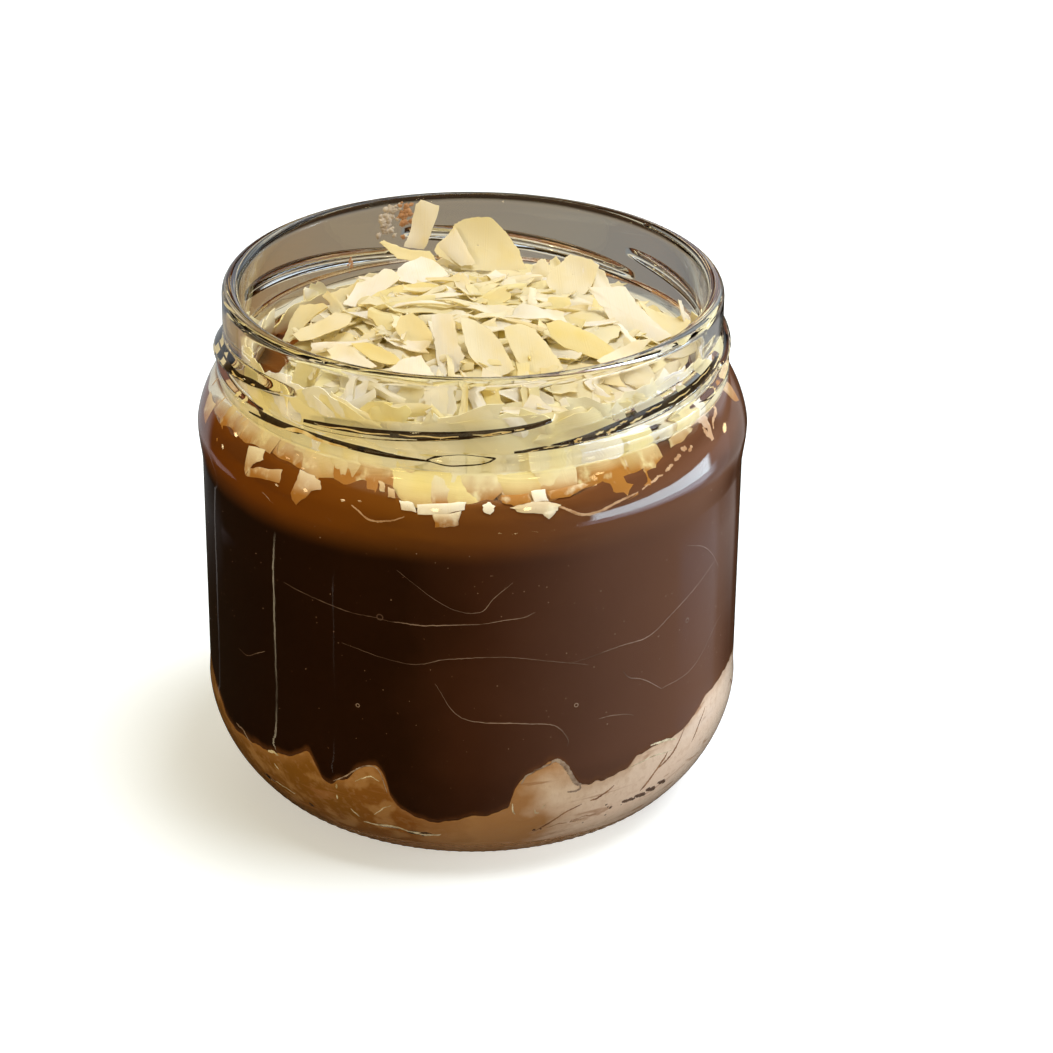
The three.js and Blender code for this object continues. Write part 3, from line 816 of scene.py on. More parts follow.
# Brown streaks in the cream:
CREAM_STREAKS = (
    (0.40, (53.3, 19.0), (51.2, 16.8), (49.5, 15.6), (46.6, 14.6), (45.0, 14.1)),
    (0.55, (45.0, 14.1), (43.6, 12.4), (42.2, 11.0)),
    (0.45, (47.9, 16.4), (46.0, 14.8), (44.0, 13.1)),
    (0.35, (25.5, 12.3), (22.6, 11.6), (20.3, 10.4), (17.6, 9.0), (14.9, 7.5)),
    (0.16, (24.3, 9.1), (28.0, 9.4), (31.0, 9.2)), (0.16, (18.4, 8.4), (21.6, 8.9), (23.4, 8.7)),
    (0.35, (62.0, 20.0), (59.4, 17.6), (57.0, 15.4)),
    (0.4, (33.0, 14.4), (30.0, 13.0), (27.5, 12.6)), (0.45, (80, 18), (86, 15), (96, 13.4)),
    (0.45, (108, 14), (118, 11.6), (130, 11)),
)
# Painted shade: dark lines in the glass under its threads and its bead, where it shows its dark
# surroundings:
GLASS_SHADE_LINES = (
    (1.0, (-40, 74.4), (-32.5, 74.9), (-24.5, 75.4), (-14.7, 75.8), (-5.4, 76.2), (3.7, 76.8),
     (13, 77.6), (17, 78.2)),
    (1.25, (9, 73.3), (16, 73.7), (24, 74.2), (33, 75.0), (43, 75.6), (54, 76.0), (64, 76.6),
     (71, 77.2)),
    (0.42, (-59, 71.7), (-48.7, 72.1), (-40.4, 72.4), (-29.9, 72.4), (-19.6, 72.3), (-9.1, 72.1)),
    (0.2, (-10, 72.1), (-2.7, 71.7), (5, 72.4)), (0.2, (-10, 72.2), (-2.7, 73.0), (5, 72.4)),
    (0.9, (-72, 75.2), (-63, 75.9), (-55, 76.7), (-48, 77.1)),
)
# Painted highlights: bright golden glints inside those:
PAINTED_GLASS_GLINTS = (
    (0.2, (-36, 74.5), (-30, 75.0), (-24.5, 75.2), (-18, 75.5)),
    (0.16, (-16, 75.7), (-10, 75.9), (-3, 76.2)), (0.14, (0, 76.5), (6, 76.9), (11, 77.3)),
    (0.16, (-52, 71.8), (-44, 72.2), (-36, 72.3), (-28, 72.2)), (0.26, (15.5, 73.8), (18, 74.0)),
    (0.3, (19, 73.7), (21.5, 74.1)), (0.28, (22.4, 74.3), (24.4, 74.5)),
    (0.34, (24.8, 73.8), (27, 74.1)), (0.3, (27.6, 74.6), (29.6, 74.8)),
    (0.3, (30.2, 74.5), (33, 74.9)), (0.26, (33.8, 75.3), (35.8, 75.4)),
    (0.3, (36.4, 74.9), (40, 75.3)), (0.24, (41, 75.7), (46, 75.9)),
    (0.24, (-67, 75.7), (-61, 76.0), (-56, 76.6)), (0.2, (48, 75.6), (56, 76.0)),
    (0.16, (57, 76.3), (66, 76.9)), (0.2, (12, 73.3), (14.5, 73.6)),
)
# Painted shade: dark strokes on the cream for the knurled foot, as it shows through the thick glass
# at the right of the base:
KNURL_SHADES = (
    (0.75, (37.6, 10.1), (39.6, 10.0), (42.0, 9.8)), (0.8, (41.2, 10.3), (43.4, 10.0), (45.4, 9.7)),
    (0.8, (44.4, 10.7), (46.6, 10.3), (48.4, 9.9)), (0.7, (48.0, 11.0), (50.0, 10.7), (51.6, 10.2)),
)
GLASS_LINE_RADIUS = 38.7 * mm  # of the lines inside the glass
FAR_LINE_WIDTH = 0.32  # of the dark lines a third of the way round, against those in front
# Bubbles against the glass: azimuth, height and radius in mm.
BUBBLES = (
    (-19.6, 46.4, 0.55), (22.6, 30.8, 0.36), (-24.9, 30.3, 0.34), (52.9, 38.6, 0.45),
    (160, 52, 0.5), (-150, 34, 0.45), (112, 50, 0.4),
)
# Flecks on the sauce: how many, and the ranges of azimuth, height and radius in mm.
FLECKS = ((260, (-180, 180), (24, 60), (0.04, 0.11)), (50, (10, 70), (24, 62), (0.05, 0.13)))
# Dark specks on the cream: azimuth, height and radius in mm.
CRUMBS = (
    (32.8, 10.7, 0.22), (34.7, 9.7, 0.28), (33.6, 10.1, 0.16), (15.3, 8.3, 0.25), (17.1, 8.3, 0.2),
    (34.6, 8.3, 0.16), (-42.7, 8.3, 0.4), (-56.2, 9.9, 0.5), (-12.4, 7.3, 0.3), (28.5, 7.9, 0.12),
    (38, 9.5, 0.14), (90, 12, 0.3), (-120, 11, 0.3),
)
LINE_STEPS, BUBBLE_STEPS, DAB_STEPS = 16, 24, 10  # points per part of a line, and per ring
RIBBON_EDGE, RIBBON_CREST, RING_CREST = 0.01, 0.05, 0.06  # mm out from what they lie on
DEGREE = 0.7  # mm round the wall


def smooth_line(points, steps):
    """A curve through points (azimuth, height), by Catmull-Rom."""
    known = np.array(points, float)
    padded = np.vstack([2 * known[0] - known[1], known, 2 * known[-1] - known[-2]])
    share = np.linspace(0, 1, steps, endpoint=False)[:, None]
    parts = []
    for a, b, c, d in zip(padded, padded[1:], padded[2:], padded[3:]):
        bend = 2 * a - 5 * b + 4 * c - d
        parts.append(
            0.5 * (2 * b + (c - a) * share + bend * share**2 + (3 * b - a - 3 * c + d) * share**3)
        )
    return np.vstack([*parts, known[-1:]])


def ribbon(draw, seed, wide, line, inside):
    """Points of a raised ribbon along a line, in three rows: an edge, the crest, an edge."""
    path = smooth_line(line, LINE_STEPS)
    size = len(path)
    turn = math.tau * np.arange(size) / size
    shake = draw.normal(size=size) * (0.005 if inside else 0.025)
    path[:, 1] += 0.06 * np.sin(turn * 2 + seed) + shake
    ends = np.sin(np.linspace(0.25, 2.9, size)) ** 0.6
    rough = draw.uniform(0.65, 1.25, size)
    half = wide / 2 * ends * (1 if inside else rough)
    lean = np.gradient(path[:, 0] * DEGREE), np.gradient(path[:, 1])
    length = np.hypot(*lean) + 1e-6
    rows = []
    for side in (-1, 0, 1):
        azimuth = path[:, 0] - side * half * lean[1] / length / DEGREE
        height = (path[:, 1] + side * half * lean[0] / length) * mm
        reach = cavity_radius(height) + WET + (RIBBON_EDGE if side else RIBBON_CREST) * mm
        rows.append(polar(inside or reach, azimuth, height))
    return rows


def bubble(at, up, size):
    """Points of a thin raised ring round a bubble, in three rows."""
    rim = np.linspace(0, math.tau, BUBBLE_STEPS, endpoint=False)
    rows = []
    for ring, lift in ((size, 0), (size * 0.84, RING_CREST), (size * 0.66, 0)):
        height = (up + ring * np.sin(rim)) * mm
        turn = at + np.degrees(ring * np.cos(rim) * mm / INNER_RADIUS)
        rows.append(polar(cavity_radius(height) + WET + lift * mm, turn, height))
    return rows


def ribbons(name, lines, finish, slot, seed, bubbles=(), inside=None):
    """Raised ribbons and rings as one piece, at the glass or at a radius inside it."""
    draw = np.random.default_rng(seed)
    points, faces, count = [], [], 0
    for wide, *line in lines:
        rows = ribbon(draw, seed, wide, line, inside)
        faces += strip_faces(count, len(rows[0]), 2)
        count += 3 * len(rows[0])
        points += rows
    for spot in bubbles:
        faces += ring_faces(count, BUBBLE_STEPS, 2)
        count += 3 * BUBBLE_STEPS
        points += bubble(*spot)
    return hand_in(joined(name, points, faces), finish, slot)


def dabs(name, spots, finish, slot, seed, lift=0.2):
    """Small uneven dabs on the glass, as low domes. A spot is azimuth, height and radius in mm.

    Those with a lift below 0 lie on the sauce or the cream and rise into the glass.
    """
    draw = np.random.default_rng(seed)
    points, faces = [], []
    turn = np.linspace(0, math.tau, DAB_STEPS, endpoint=False)
    for at, up, size in spots:
        faces += ring_faces(len(points) * DAB_STEPS, DAB_STEPS, 2, (1, 0, 2, 3))
        rough = draw.uniform(0.6, 1.25, DAB_STEPS)
        for share, rise in ((1, -0.02), (0.6, 0.8 * lift), (0, lift)):
            height = (up + size * share * rough * np.sin(turn)) * mm
            wide = size * share * rough * np.cos(turn) * mm
            wall = cavity_radius(height) + WET * (lift < 0)
            reach = wall - rise * mm * min(1, size)
            points.append(polar(reach, at + np.degrees(wide / wall), height))
    return hand_in(joined(name, points, faces), finish, slot)


def marks():
    hair = plain_finish("hairline", (0.09, 0.05, 0.038), (0.42, 0.31, 0.27), 0.4, 0.12)
    ribbons("hairlines", HAIRLINES, hair, "chocolate_sauce", 11, BUBBLES)
    pale = plain_finish("pale trail", (0.42, 0.23, 0.12), (0.66, 0.45, 0.30), 0.4, 0.5)
    ribbons("pale_trails", PALE_LINES, pale, "white_chocolate", 12)
    # Painted highlights: pale ribbons for glints of light on the cream.
    painted_glint = plain_finish("painted_glint", (0.45, 0.36, 0.22), (0.95, 0.9, 0.74), 0.2, 0.7)
    ribbons("glints", PAINTED_GLINTS, painted_glint, "cream", 13)
    # Painted reflections: lavender-grey ribbons for the bright edges of the air pockets.
    pocket_sheen = plain_finish("pocket sheen", (0.20, 0.13, 0.10), (0.50, 0.41, 0.36), 0.3, 0.9)
    ribbons("pocket_sheens", POCKET_SHEENS, pocket_sheen, "cream", 14)
    brown = plain_finish("brown streak", (0.17, 0.07, 0.03), (0.42, 0.22, 0.11), 0.5, 0.6)
    ribbons("cream_streaks", CREAM_STREAKS, brown, "cream", 15)
    draw = np.random.default_rng(16)
    spots = []
    for number, *spans in FLECKS:
        spots += [tuple(draw.uniform(*span) for span in spans) for _ in range(number)]
    fleck = plain_finish("fleck", (0.2, 0.11, 0.075), (0.36, 0.24, 0.18), 0.5)
    dabs("flecks", spots, fleck, "chocolate_sauce", 17, -0.06)
    dark = plain_finish("speck and knurl shade", (0.02, 0.009, 0.004), (0.06, 0.028, 0.014), 0.4)
    dabs("dark_specks", CRUMBS, dark, "cream", 18, -0.08)
    # Painted shade: the same dark finish as the real specks draws the knurled foot as it shows
    # through the glass.
    ribbons("knurl_shades", KNURL_SHADES, dark, "cream", 19)
    # Painted shade: the dark lines in the glass, repeated all round the neck.
    round_the_neck = [
        (wide * (FAR_LINE_WIDTH if turn else 1), *((at + turn, up) for at, up in line))
        for turn in (0, 120, 240)
        for wide, *line in GLASS_SHADE_LINES
    ]
    shade = plain_finish("shade in the glass", (0.014, 0.008, 0.004), (0.05, 0.03, 0.012), 0.2, 0.5)
    place = GLASS_LINE_RADIUS
    ribbons("glass_shade_lines", round_the_neck, shade, "clear_glass", 20, inside=place)
    # Painted highlights: golden glints in the glass.
    painted_glint = plain_finish("glint in the glass", (0.75, 0.52, 0.20), (0.95, 0.82, 0.50), 0.25, 0.5)
    ribbons("glass_glints", PAINTED_GLASS_GLINTS, painted_glint, "clear_glass", 21, inside=place + 0.1 * mm)


# --------------------------------------------------------------------------------------- shavings

CLEARANCE = 0.15 * mm  # between the loose shavings and the glass
THICKNESS = 0.22, 0.42  # least and most thickness of a shaving in mm, in its middle
CREASE = math.radians(40)  # a bend sharper than this is drawn as a crease


def shaving(draw, length, width, curl, cup, twist, stations, lanes):
    """A thin curved shaving about its own middle: points, faces and how far across each point is.

    Its two long edges wander and its ends are broken at a slant. The upper and the lower face
    meet at a thin edge.
    """
    along = np.linspace(-1, 1, stations + 1)
    across = np.linspace(-1, 1, lanes + 1)
    narrow = draw.uniform(0.05, 0.7)
    taper = 1 - narrow * np.abs(along + draw.uniform(-0.3, 0.3)) ** draw.uniform(1.4, 3.5)
    edges = np.clip(taper, 0.1, 1) * draw.uniform(0.8, 1.1, (2, stations + 1)) * width / 2
    u, v = np.meshgrid(along, across, indexing="ij")
    sideways = np.where(v > 0, v * edges[1][:, None], v * edges[0][:, None])
    slant = draw.uniform(-0.55, 0.55, 2)
    lengthways = u * length / 2 + sideways * np.where(u < 0, slant[0], slant[1]) * np.abs(u)
    lengthways = lengthways + draw.normal(size=v.shape) * 0.03 * length * (np.abs(u) > 0.98)
    wave = 0.08 * np.sin(u * draw.uniform(3, 6) + v * 1.5 + draw.uniform(0, 6))
    lift = curl * u**2 + cup * v**2 + twist * u * v + wave * min(width, 4)
    lift = lift - lift.mean()
    thick = draw.uniform(*THICKNESS) * (1 - 0.6 * np.maximum(np.abs(u), np.abs(v)) ** 4)
    upper = np.stack([lengthways, sideways, lift + thick / 2], -1).reshape(-1, 3)
    lower = np.stack([lengthways, sideways, lift - thick / 2], -1).reshape(-1, 3)
    faces = sheet_faces(stations, lanes)
    return np.vstack([upper, lower]) * mm, faces, np.tile(sideways.ravel(), 2)


def turned(points, at, lean, towards, turn):
    """Points turned in their own plane, leaned towards an azimuth and moved into place."""
    spin = (
        Matrix.Rotation(math.radians(towards), 3, "Z")
        @ Matrix.Rotation(math.radians(lean), 3, "X")
        @ Matrix.Rotation(math.radians(turn), 3, "Z")
    )
    return points @ np.array(spin).T + np.array(at)


def kept_inside(points):
    """Points moved in as a whole, so that a shaving stays clear of the glass."""
    for _ in range(40):
        radius = np.hypot(points[:, 0], points[:, 1])
        over = radius + CLEARANCE - cavity_radius(points[:, 2])
        over = np.where(points[:, 2] > RIM_TOP, 0, over)
        worst = int(np.argmax(over))
        if over[worst] <= 0:
            break
        inward = -points[worst, :2] / radius[worst]
        points = points + np.array([*(inward * over[worst]), 0])
    return points


def at_wall(points, azimuth, height, turn, depth):
    """Points bent round the inside wall at a depth, with their long axis at a turn to the level."""
    spin = math.radians(turn)
    level = points[:, 0] * math.cos(spin) - points[:, 1] * math.sin(spin)
    up = height + points[:, 0] * math.sin(spin) + points[:, 1] * math.cos(spin)
    reach = cavity_radius(up)
    return polar(reach - depth + points[:, 2], azimuth + np.degrees(level / reach), up)


class Heap:
    """Shavings collected for one joined mesh."""

    def __init__(self):
        self.points, self.faces, self.count = [], [], 0
        self.layers = {"across": [], "tone": [], "stain": [], "gold": []}

    def add(self, placed, faces, across, tone, gold=0.0, stain=0.0):
        self.faces += [tuple(self.count + i for i in face) for face in faces]
        self.points.append(placed)
        self.layers["across"].append(across)
        self.layers["tone"].append(np.full(len(placed), tone))
        self.layers["gold"].append(np.full(len(placed), gold))
        self.layers["stain"].append(stain * np.ones(len(placed)))
        self.count += len(placed)

    def mesh(self, name):
        layers = {title: np.concatenate(values) for title, values in self.layers.items()}
        made = joined(name, self.points, self.faces, layers)
        pick(made)
        bpy.ops.object.shade_smooth_by_angle(angle=CREASE)
        return made


def worn_outline(draw, corners, shares, wear):
    """An outline with points added at shares of each side, all moved a little at random."""
    between = [mix(corners, np.roll(corners, -1, 0), share) for share in shares]
    ring = np.stack(between, 1).reshape(-1, 2)
    return ring + draw.normal(size=ring.shape) * wear


def cut_shaving(draw, outline, curl, cup):
    """A thin bent shaving with a given outline (mm) in its own plane, thinner at its edge."""
    corners = np.array(outline)
    ring = worn_outline(draw, corners, (0, 0.25, 0.5, 0.75), 0.06)
    count, shares = len(ring), (1, 0.8, 0.6, 0.4, 0.2, 0.02)
    flat = np.vstack([mix(ring.mean(0), ring, share) for share in shares])
    u, v = (flat / np.abs(corners).max(0)).T
    lift = curl * u**2 + cup * v**2 + 0.12 * np.sin(u * 3 + v * 2 + draw.uniform(0, 6))
    lift = lift - lift.mean()
    thick = np.repeat((0.10, 0.26, 0.3, 0.3, 0.3, 0.3), count) / 2
    faces = ring_faces(0, count, len(shares) - 1)
    size = len(flat)
    faces += [tuple(size + i for i in reversed(face)) for face in faces]
    faces += [(i, size + i, size + (i + 1) % count, (i + 1) % count) for i in range(count)]
    sides = [np.column_stack([flat, lift + thick]), np.column_stack([flat, lift - thick])]
    return np.vstack(sides) * mm, faces, np.tile(flat[:, 0], 2)


# The large shavings: middle (mm), lean and the azimuth it leans towards, depth of its bends, how
# pale and how golden it is, and its outline (mm) in its own plane.
LARGE_SHAVINGS = (
    ((-8.4, 26.1, 84.1), 74, -8, (0.3, 0.2), 0.9, 0.0,
     (-2.8, -3.8), (-1.9, -1.3), (-1.3, 3.0), (-0.3, 4.0), (2.8, 3.2), (2.3, 1.0), (1.5, -1.6),
     (0.5, -4.0)),
    ((1.4, 20.9, 82.8), 60, -6, (0.7, 0.8), 0.25, 0.0,
     (-7.7, -1.5), (-7.1, -0.2), (-5.7, 1.0), (-5.0, 2.2), (-4.6, 3.1), (-3.3, 3.8), (-1.4, 4.2),
     (0.9, 4.4), (2.4, 3.5), (3.8, 2.1), (5.0, 0.5), (6.1, -0.7), (6.8, -2.6), (7.7, -3.9),
     (3.2, -4.4), (-0.1, -4.4), (-3.0, -4.4), (-4.7, -3.2), (-6.7, -2.4)),
    ((-10.5, 21.3, 81.2), 34, -10, (0.3, 0.2), 0.3, 0.35,
     (-5.0, 1.3), (-4.4, 1.8), (-1.6, 0.8), (1.0, 0.4), (3.5, 0.3), (5.0, -1.8), (3.0, -1.7),
     (0.5, -1.6), (-1.5, -1.5), (-3.4, 0.1)),
    ((-8.6, 13.3, 81.1), 30, 14, (0.8, 0.6), 1.0, 0.0,
     (-4.2, -1.6), (-3.5, 0.7), (-1.4, 2.1), (0.8, 2.7), (2.7, 1.7), (3.9, -0.1), (4.2, -1.8),
     (1.6, -2.5), (-1.8, -2.7)),
    ((-15.7, 8.2, 79.8), 30, -22, (0.8, 0.5), 1.0, 0.0,
     (-3.6, -4.4), (-3.4, -1.3), (-3.2, 0.8), (-1.3, 2.4), (0.1, 4.4), (1.4, 4.4), (3.6, 2.8),
     (2.3, 1.3), (0.3, -1.0), (-1.1, -3.7)),
    ((-8.5, 5.5, 79.6), 14, -10, (0.4, 0.3), 0.2, 0.6,
     (-9.2, -3.9), (-6.9, 0.7), (-4.1, 2.9), (-0.0, 4.0), (4.7, 2.9), (9.2, 1.0), (5.0, -0.5),
     (0.6, -1.1), (-2.7, -2.3), (-5.6, -4.0)),
    ((-20.3, 11.5, 78.3), 44, -40, (0.5, 0.3), 0.3, 0.15,
     (-2.6, -1.6), (-1.1, 0.2), (0.3, 1.3), (1.1, 2.5), (2.6, 1.1), (2.5, -0.8), (1.9, -2.5),
     (-0.3, -2.4)),
    ((-21.3, 4.8, 78.1), 36, -55, (0.6, 0.4), 0.35, 0.1,
     (-5.1, 0.4), (-4.3, 1.4), (-1.9, 1.4), (1.5, 0.5), (5.1, 0.4), (4.3, -0.9), (1.6, -1.4),
     (-1.3, -1.0), (-2.9, 0.1)),
    ((-26.7, 2.4, 76.8), 40, -64, (0.7, 0.3), 0.3, 0.2,
     (-0.5, -4.3), (-2.1, -2.0), (-3.1, 0.1), (-3.2, 1.6), (-1.9, 2.9), (0.9, 4.3), (3.2, 4.3),
     (2.1, 2.9), (1.0, 1.0), (0.7, -0.6), (0.7, -2.2), (1.2, -3.9)),
    ((-23.2, -3.6, 78.1), 24, -46, (0.5, 0.3), 0.5, 0.1,
     (-3.4, -3.6), (-3.4, -1.8), (-2.4, 0.9), (-0.9, 3.6), (2.7, 4.0), (3.4, 2.3), (1.9, 0.4),
     (-0.1, -1.8), (-1.6, -4.0)),
    ((-3.9, -13.8, 80.0), 50, 4, (0.9, 0.5), 0.85, 0.0,
     (-2.4, 4.6), (-1.0, 5.0), (0.8, 4.8), (1.4, 2.4), (1.7, 0.0), (2.4, -2.1), (1.6, -4.0),
     (0.1, -5.0), (-1.4, -4.8), (-1.8, -2.6), (-2.0, -0.4), (-2.2, 2.2)),
    ((-8.4, -10.6, 79.4), 42, -14, (0.8, 0.6), 0.3, 0.3,
     (-3.9, 1.4), (-3.3, 3.4), (-1.7, 4.2), (0.2, 3.2), (1.9, 1.2), (3.0, -1.3), (3.9, -4.2),
     (1.8, -3.4), (-0.7, -1.7), (-2.6, -0.2)),
    ((2.1, -14.8, 79.9), 42, 8, (1.0, 0.7), 0.45, 0.05,
     (-3.8, 5.0), (-1.2, 4.5), (0.8, 3.2), (2.0, 1.2), (3.0, -1.4), (3.8, -4.2), (1.5, -5.0),
     (-0.8, -3.6), (-2.7, -1.4), (-3.3, 0.8), (-3.5, 3.0)),
    ((9.1, -14.7, 79.4), 40, 10, (0.9, 0.6), 0.35, 0.15,
     (-4.1, 3.8), (-1.6, 4.7), (0.8, 3.8), (2.2, 1.4), (3.5, -1.4), (4.1, -3.8), (1.3, -4.7),
     (-1.2, -3.4), (-2.6, -1.3), (-3.5, 1.3)),
    ((16.6, -10.8, 79.4), 30, 14, (0.6, 0.5), 0.25, 0.5,
     (-4.9, 3.6), (-2.4, 4.1), (0.2, 2.7), (2.6, 0.8), (4.3, -1.7), (4.9, -3.3), (2.1, -4.1),
     (-0.6, -1.9), (-3.1, -0.4), (-4.5, 1.3)),
    ((23.3, -14.1, 78.7), 34, 24, (0.5, 0.4), 0.6, 0.0,
     (-5.2, -0.4), (-2.0, 0.9), (1.8, 1.7), (5.2, 1.6), (2.5, 0.0), (-1.1, -1.2), (-4.3, -1.7)),
    ((-9.2, -20.1, 79.2), 40, -4, (0.4, 0.3), 1.0, 0.0,
     (-3.4, -0.5), (-2.2, 0.7), (-0.5, 1.5), (1.2, 1.9), (2.4, 0.2), (3.4, -1.6), (0.4, -1.9),
     (-2.1, -1.8)),
    ((-18.3, -14.6, 78.0), 36, -28, (0.5, 0.3), 0.9, 0.0,
     (-4.6, 0.2), (-3.5, 1.8), (-1.1, 1.8), (1.5, 0.7), (4.6, -0.6), (2.7, -1.8), (-0.5, -1.8),
     (-2.9, -1.1)),
    ((-14.5, -14.2, 78.5), 30, -16, (0.5, 0.4), 0.3, 0.6,
     (-4.5, 1.1), (-2.4, 1.8), (0.2, 1.4), (2.8, 0.2), (4.5, -1.4), (2.1, -1.8), (-1.0, -1.1)),
    ((15.6, 10.9, 81.4), 56, 12, (0.8, 0.5), 0.55, 0.0,
     (-4.4, -0.7), (-3.2, 1.2), (-1.4, 2.2), (-0.5, 3.1), (0.2, 3.5), (1.8, 2.9), (3.4, 2.3),
     (4.4, 1.1), (3.8, -0.7), (2.8, -2.4), (1.4, -3.4), (-1.3, -3.5), (-3.5, -2.7)),
    ((18.8, 12.5, 81.3), 62, 40, (0.3, 0.2), 0.95, 0.0,
     (-0.6, 2.6), (1.0, 1.8), (2.1, 0.7), (0.8, -0.8), (-0.8, -2.6), (-2.1, -2.1), (-1.8, 0.2)),
    ((20.2, 11.9, 80.3), 64, 28, (0.3, 0.2), 0.75, 0.0,
     (0.0, 2.0), (1.1, 1.2), (1.5, -0.5), (1.7, -2.0), (-0.3, -1.8), (-1.7, -1.3), (-0.9, 0.6)),
    ((24.3, -1.2, 79.6), 42, 18, (1.0, 0.6), 0.9, 0.0,
     (-5.7, 5.3), (-1.4, 5.1), (0.6, 5.0), (1.2, 3.7), (1.9, 1.9), (3.4, -0.8), (4.8, -3.3),
     (5.7, -4.8), (3.3, -5.2), (0.6, -5.3), (-1.3, -3.3), (-2.9, -0.7), (-3.9, 1.9), (-4.9, 3.4)),
    ((30.2, 0.5, 78.6), 32, 32, (0.6, 0.4), 0.35, 0.2,
     (-3.4, 3.9), (-1.7, 2.3), (-0.0, 1.2), (1.6, -0.3), (3.1, -1.1), (3.4, -2.2), (1.3, -3.2),
     (-1.4, -3.9), (-2.3, -1.5), (-3.0, 1.4)),
    ((33.1, 1.4, 79.5), 76, 44, (0.3, 0.1), 1.0, 0.0,
     (-1.1, 2.1), (-0.2, 1.7), (0.3, -0.1), (1.1, -1.8), (-0.4, -2.1), (-1.0, -0.7)),
    ((24.1, -10.7, 80.3), 36, 12, (0.2, 0.1), 1.0, 0.0,
     (-1.7, 2.2), (-0.9, 2.1), (0.4, -0.2), (1.7, -2.1), (0.5, -2.2), (-0.8, -0.1)),
    ((11.1, 18.8, 79.4), 58, 0, (0.3, 0.3), 0.5, 0.0,
     (-1.8, -0.2), (-1.1, 0.8), (-0.2, 1.6), (0.6, 1.6), (1.3, 0.3), (1.8, -1.1), (-0.2, -1.6),
     (-1.5, -1.3)),
    ((13.6, 20.6, 79.4), 58, 6, (0.3, 0.2), 0.4, 0.1,
     (-1.4, -0.5), (-1.2, 0.6), (-0.1, 1.4), (0.6, 0.4), (1.4, -1.0), (-0.3, -1.4)),
    ((-2.7, 20.3, 82.5), 63, -14, (0.3, 0.3), 0.7, 0.0,
     (-3.4, -0.6), (-2.8, 0.6), (-1.4, 2.0), (-0.7, 3.1), (0.3, 1.9), (1.9, -0.3), (3.4, -2.4),
     (1.2, -3.1), (-1.0, -1.8)),
)


def large_shavings():
    draw = np.random.default_rng(21)
    heap = Heap()
    for at, lean, towards, bends, tone, gold, *outline in LARGE_SHAVINGS:
        points, faces, across = cut_shaving(draw, outline, *bends)
        placed = kept_inside(turned(points, np.array(at) * mm, lean, towards, 0))
        heap.add(placed, faces, across, tone, gold)
    return heap.mesh("large_shavings")


# Layers on the dome: how many, length and width from least to most, and lift (mm).
TOP_LAYERS = (
    (80, (8, 13), (5, 8), -1.5), (110, (7, 13), (3, 6), -0.7), (120, (6, 13), (0.9, 2.4), -0.1),
)
# Rows at the wall: how many, height, length and width from least to most, most turn, and depth.
SIDE_ROWS = (
    (34, (66.5, 69.5), (9, 15), (6, 9), 90, 0.30), (30, (70, 73), (9, 15), (6, 9), 90, 0.45),
    (26, (73.4, 76.0), (11, 17), (6, 7.6), 16, 0.14), (40, (70, 75.5), (9, 14), (5, 8), 50, 0.8),
    (30, (76.2, 78.0), (6, 11), (3, 5), 30, 0.35),
)
GOLDEN_ANGLE = 137.508  # from one shaving to the next, so that they spread evenly
AHEAD = 2 * mm, 22 * mm  # the heap sinks between these distances to the front
TOP_IN = 2.6 * mm  # how far inside the heap's edge the middles of the top shavings stay
CORE_DIP, CORE_LUMP = 2.6 * mm, 0.4 * mm  # how far the core sinks to the front, and its bumps


def heap_reach(azimuth):
    return edge_at(azimuth, HEAP_REACH)


def top_shavings():
    """The layers on the dome: level in the middle, steeper in front, radial at the left."""
    draw = np.random.default_rng(22)
    heap = Heap()
    for row, (number, lengths, widths, lift) in enumerate(TOP_LAYERS):
        for i in range(number):
            azimuth = within_turn(i * GOLDEN_ANGLE + row * 60 + draw.uniform(-8, 8))
            share = math.sqrt((i + 0.5) / number)
            radius = share * (heap_reach(azimuth) - TOP_IN)
            x, y, _ = polar(radius, azimuth, 0)
            left = float(smooth(-x, 10 * mm, 24 * mm))
            back = float(smooth(y, 0, 14 * mm))
            front = float(smooth(-y, *AHEAD))
            length, width = draw.uniform(*lengths), draw.uniform(*widths)
            bends = draw.normal(size=3) * (0.6, 0.3, 0.3)
            lean = 4 + 26 * front + 12 * left + draw.normal() * 7
            towards = azimuth * mix(0.3, 0.9, max(front, left)) + draw.normal() * 22
            turn = draw.normal() * 24 + 85 * left * (draw.uniform() < 0.75)
            turn += 60 * front * draw.choice([-1, 0, 1])
            height = dome_height(radius) + (lift - 2.0 * front - 1.6 * left - 0.3 * back) * mm
            height += draw.uniform(-0.4, 0.4) * mm
            points, faces, across = shaving(draw, length * mix(1, 0.8, back), width, *bends, 7, 3)
            placed = turned(points, polar(radius, azimuth, height), lean, towards, turn)
            tone, gold = np.clip(draw.normal(0.45, 0.3), 0, 1), draw.uniform(-0.5, 0.5)
            heap.add(kept_inside(placed), faces, across, float(tone), max(0.0, gold))
    return heap.mesh("top_shavings")


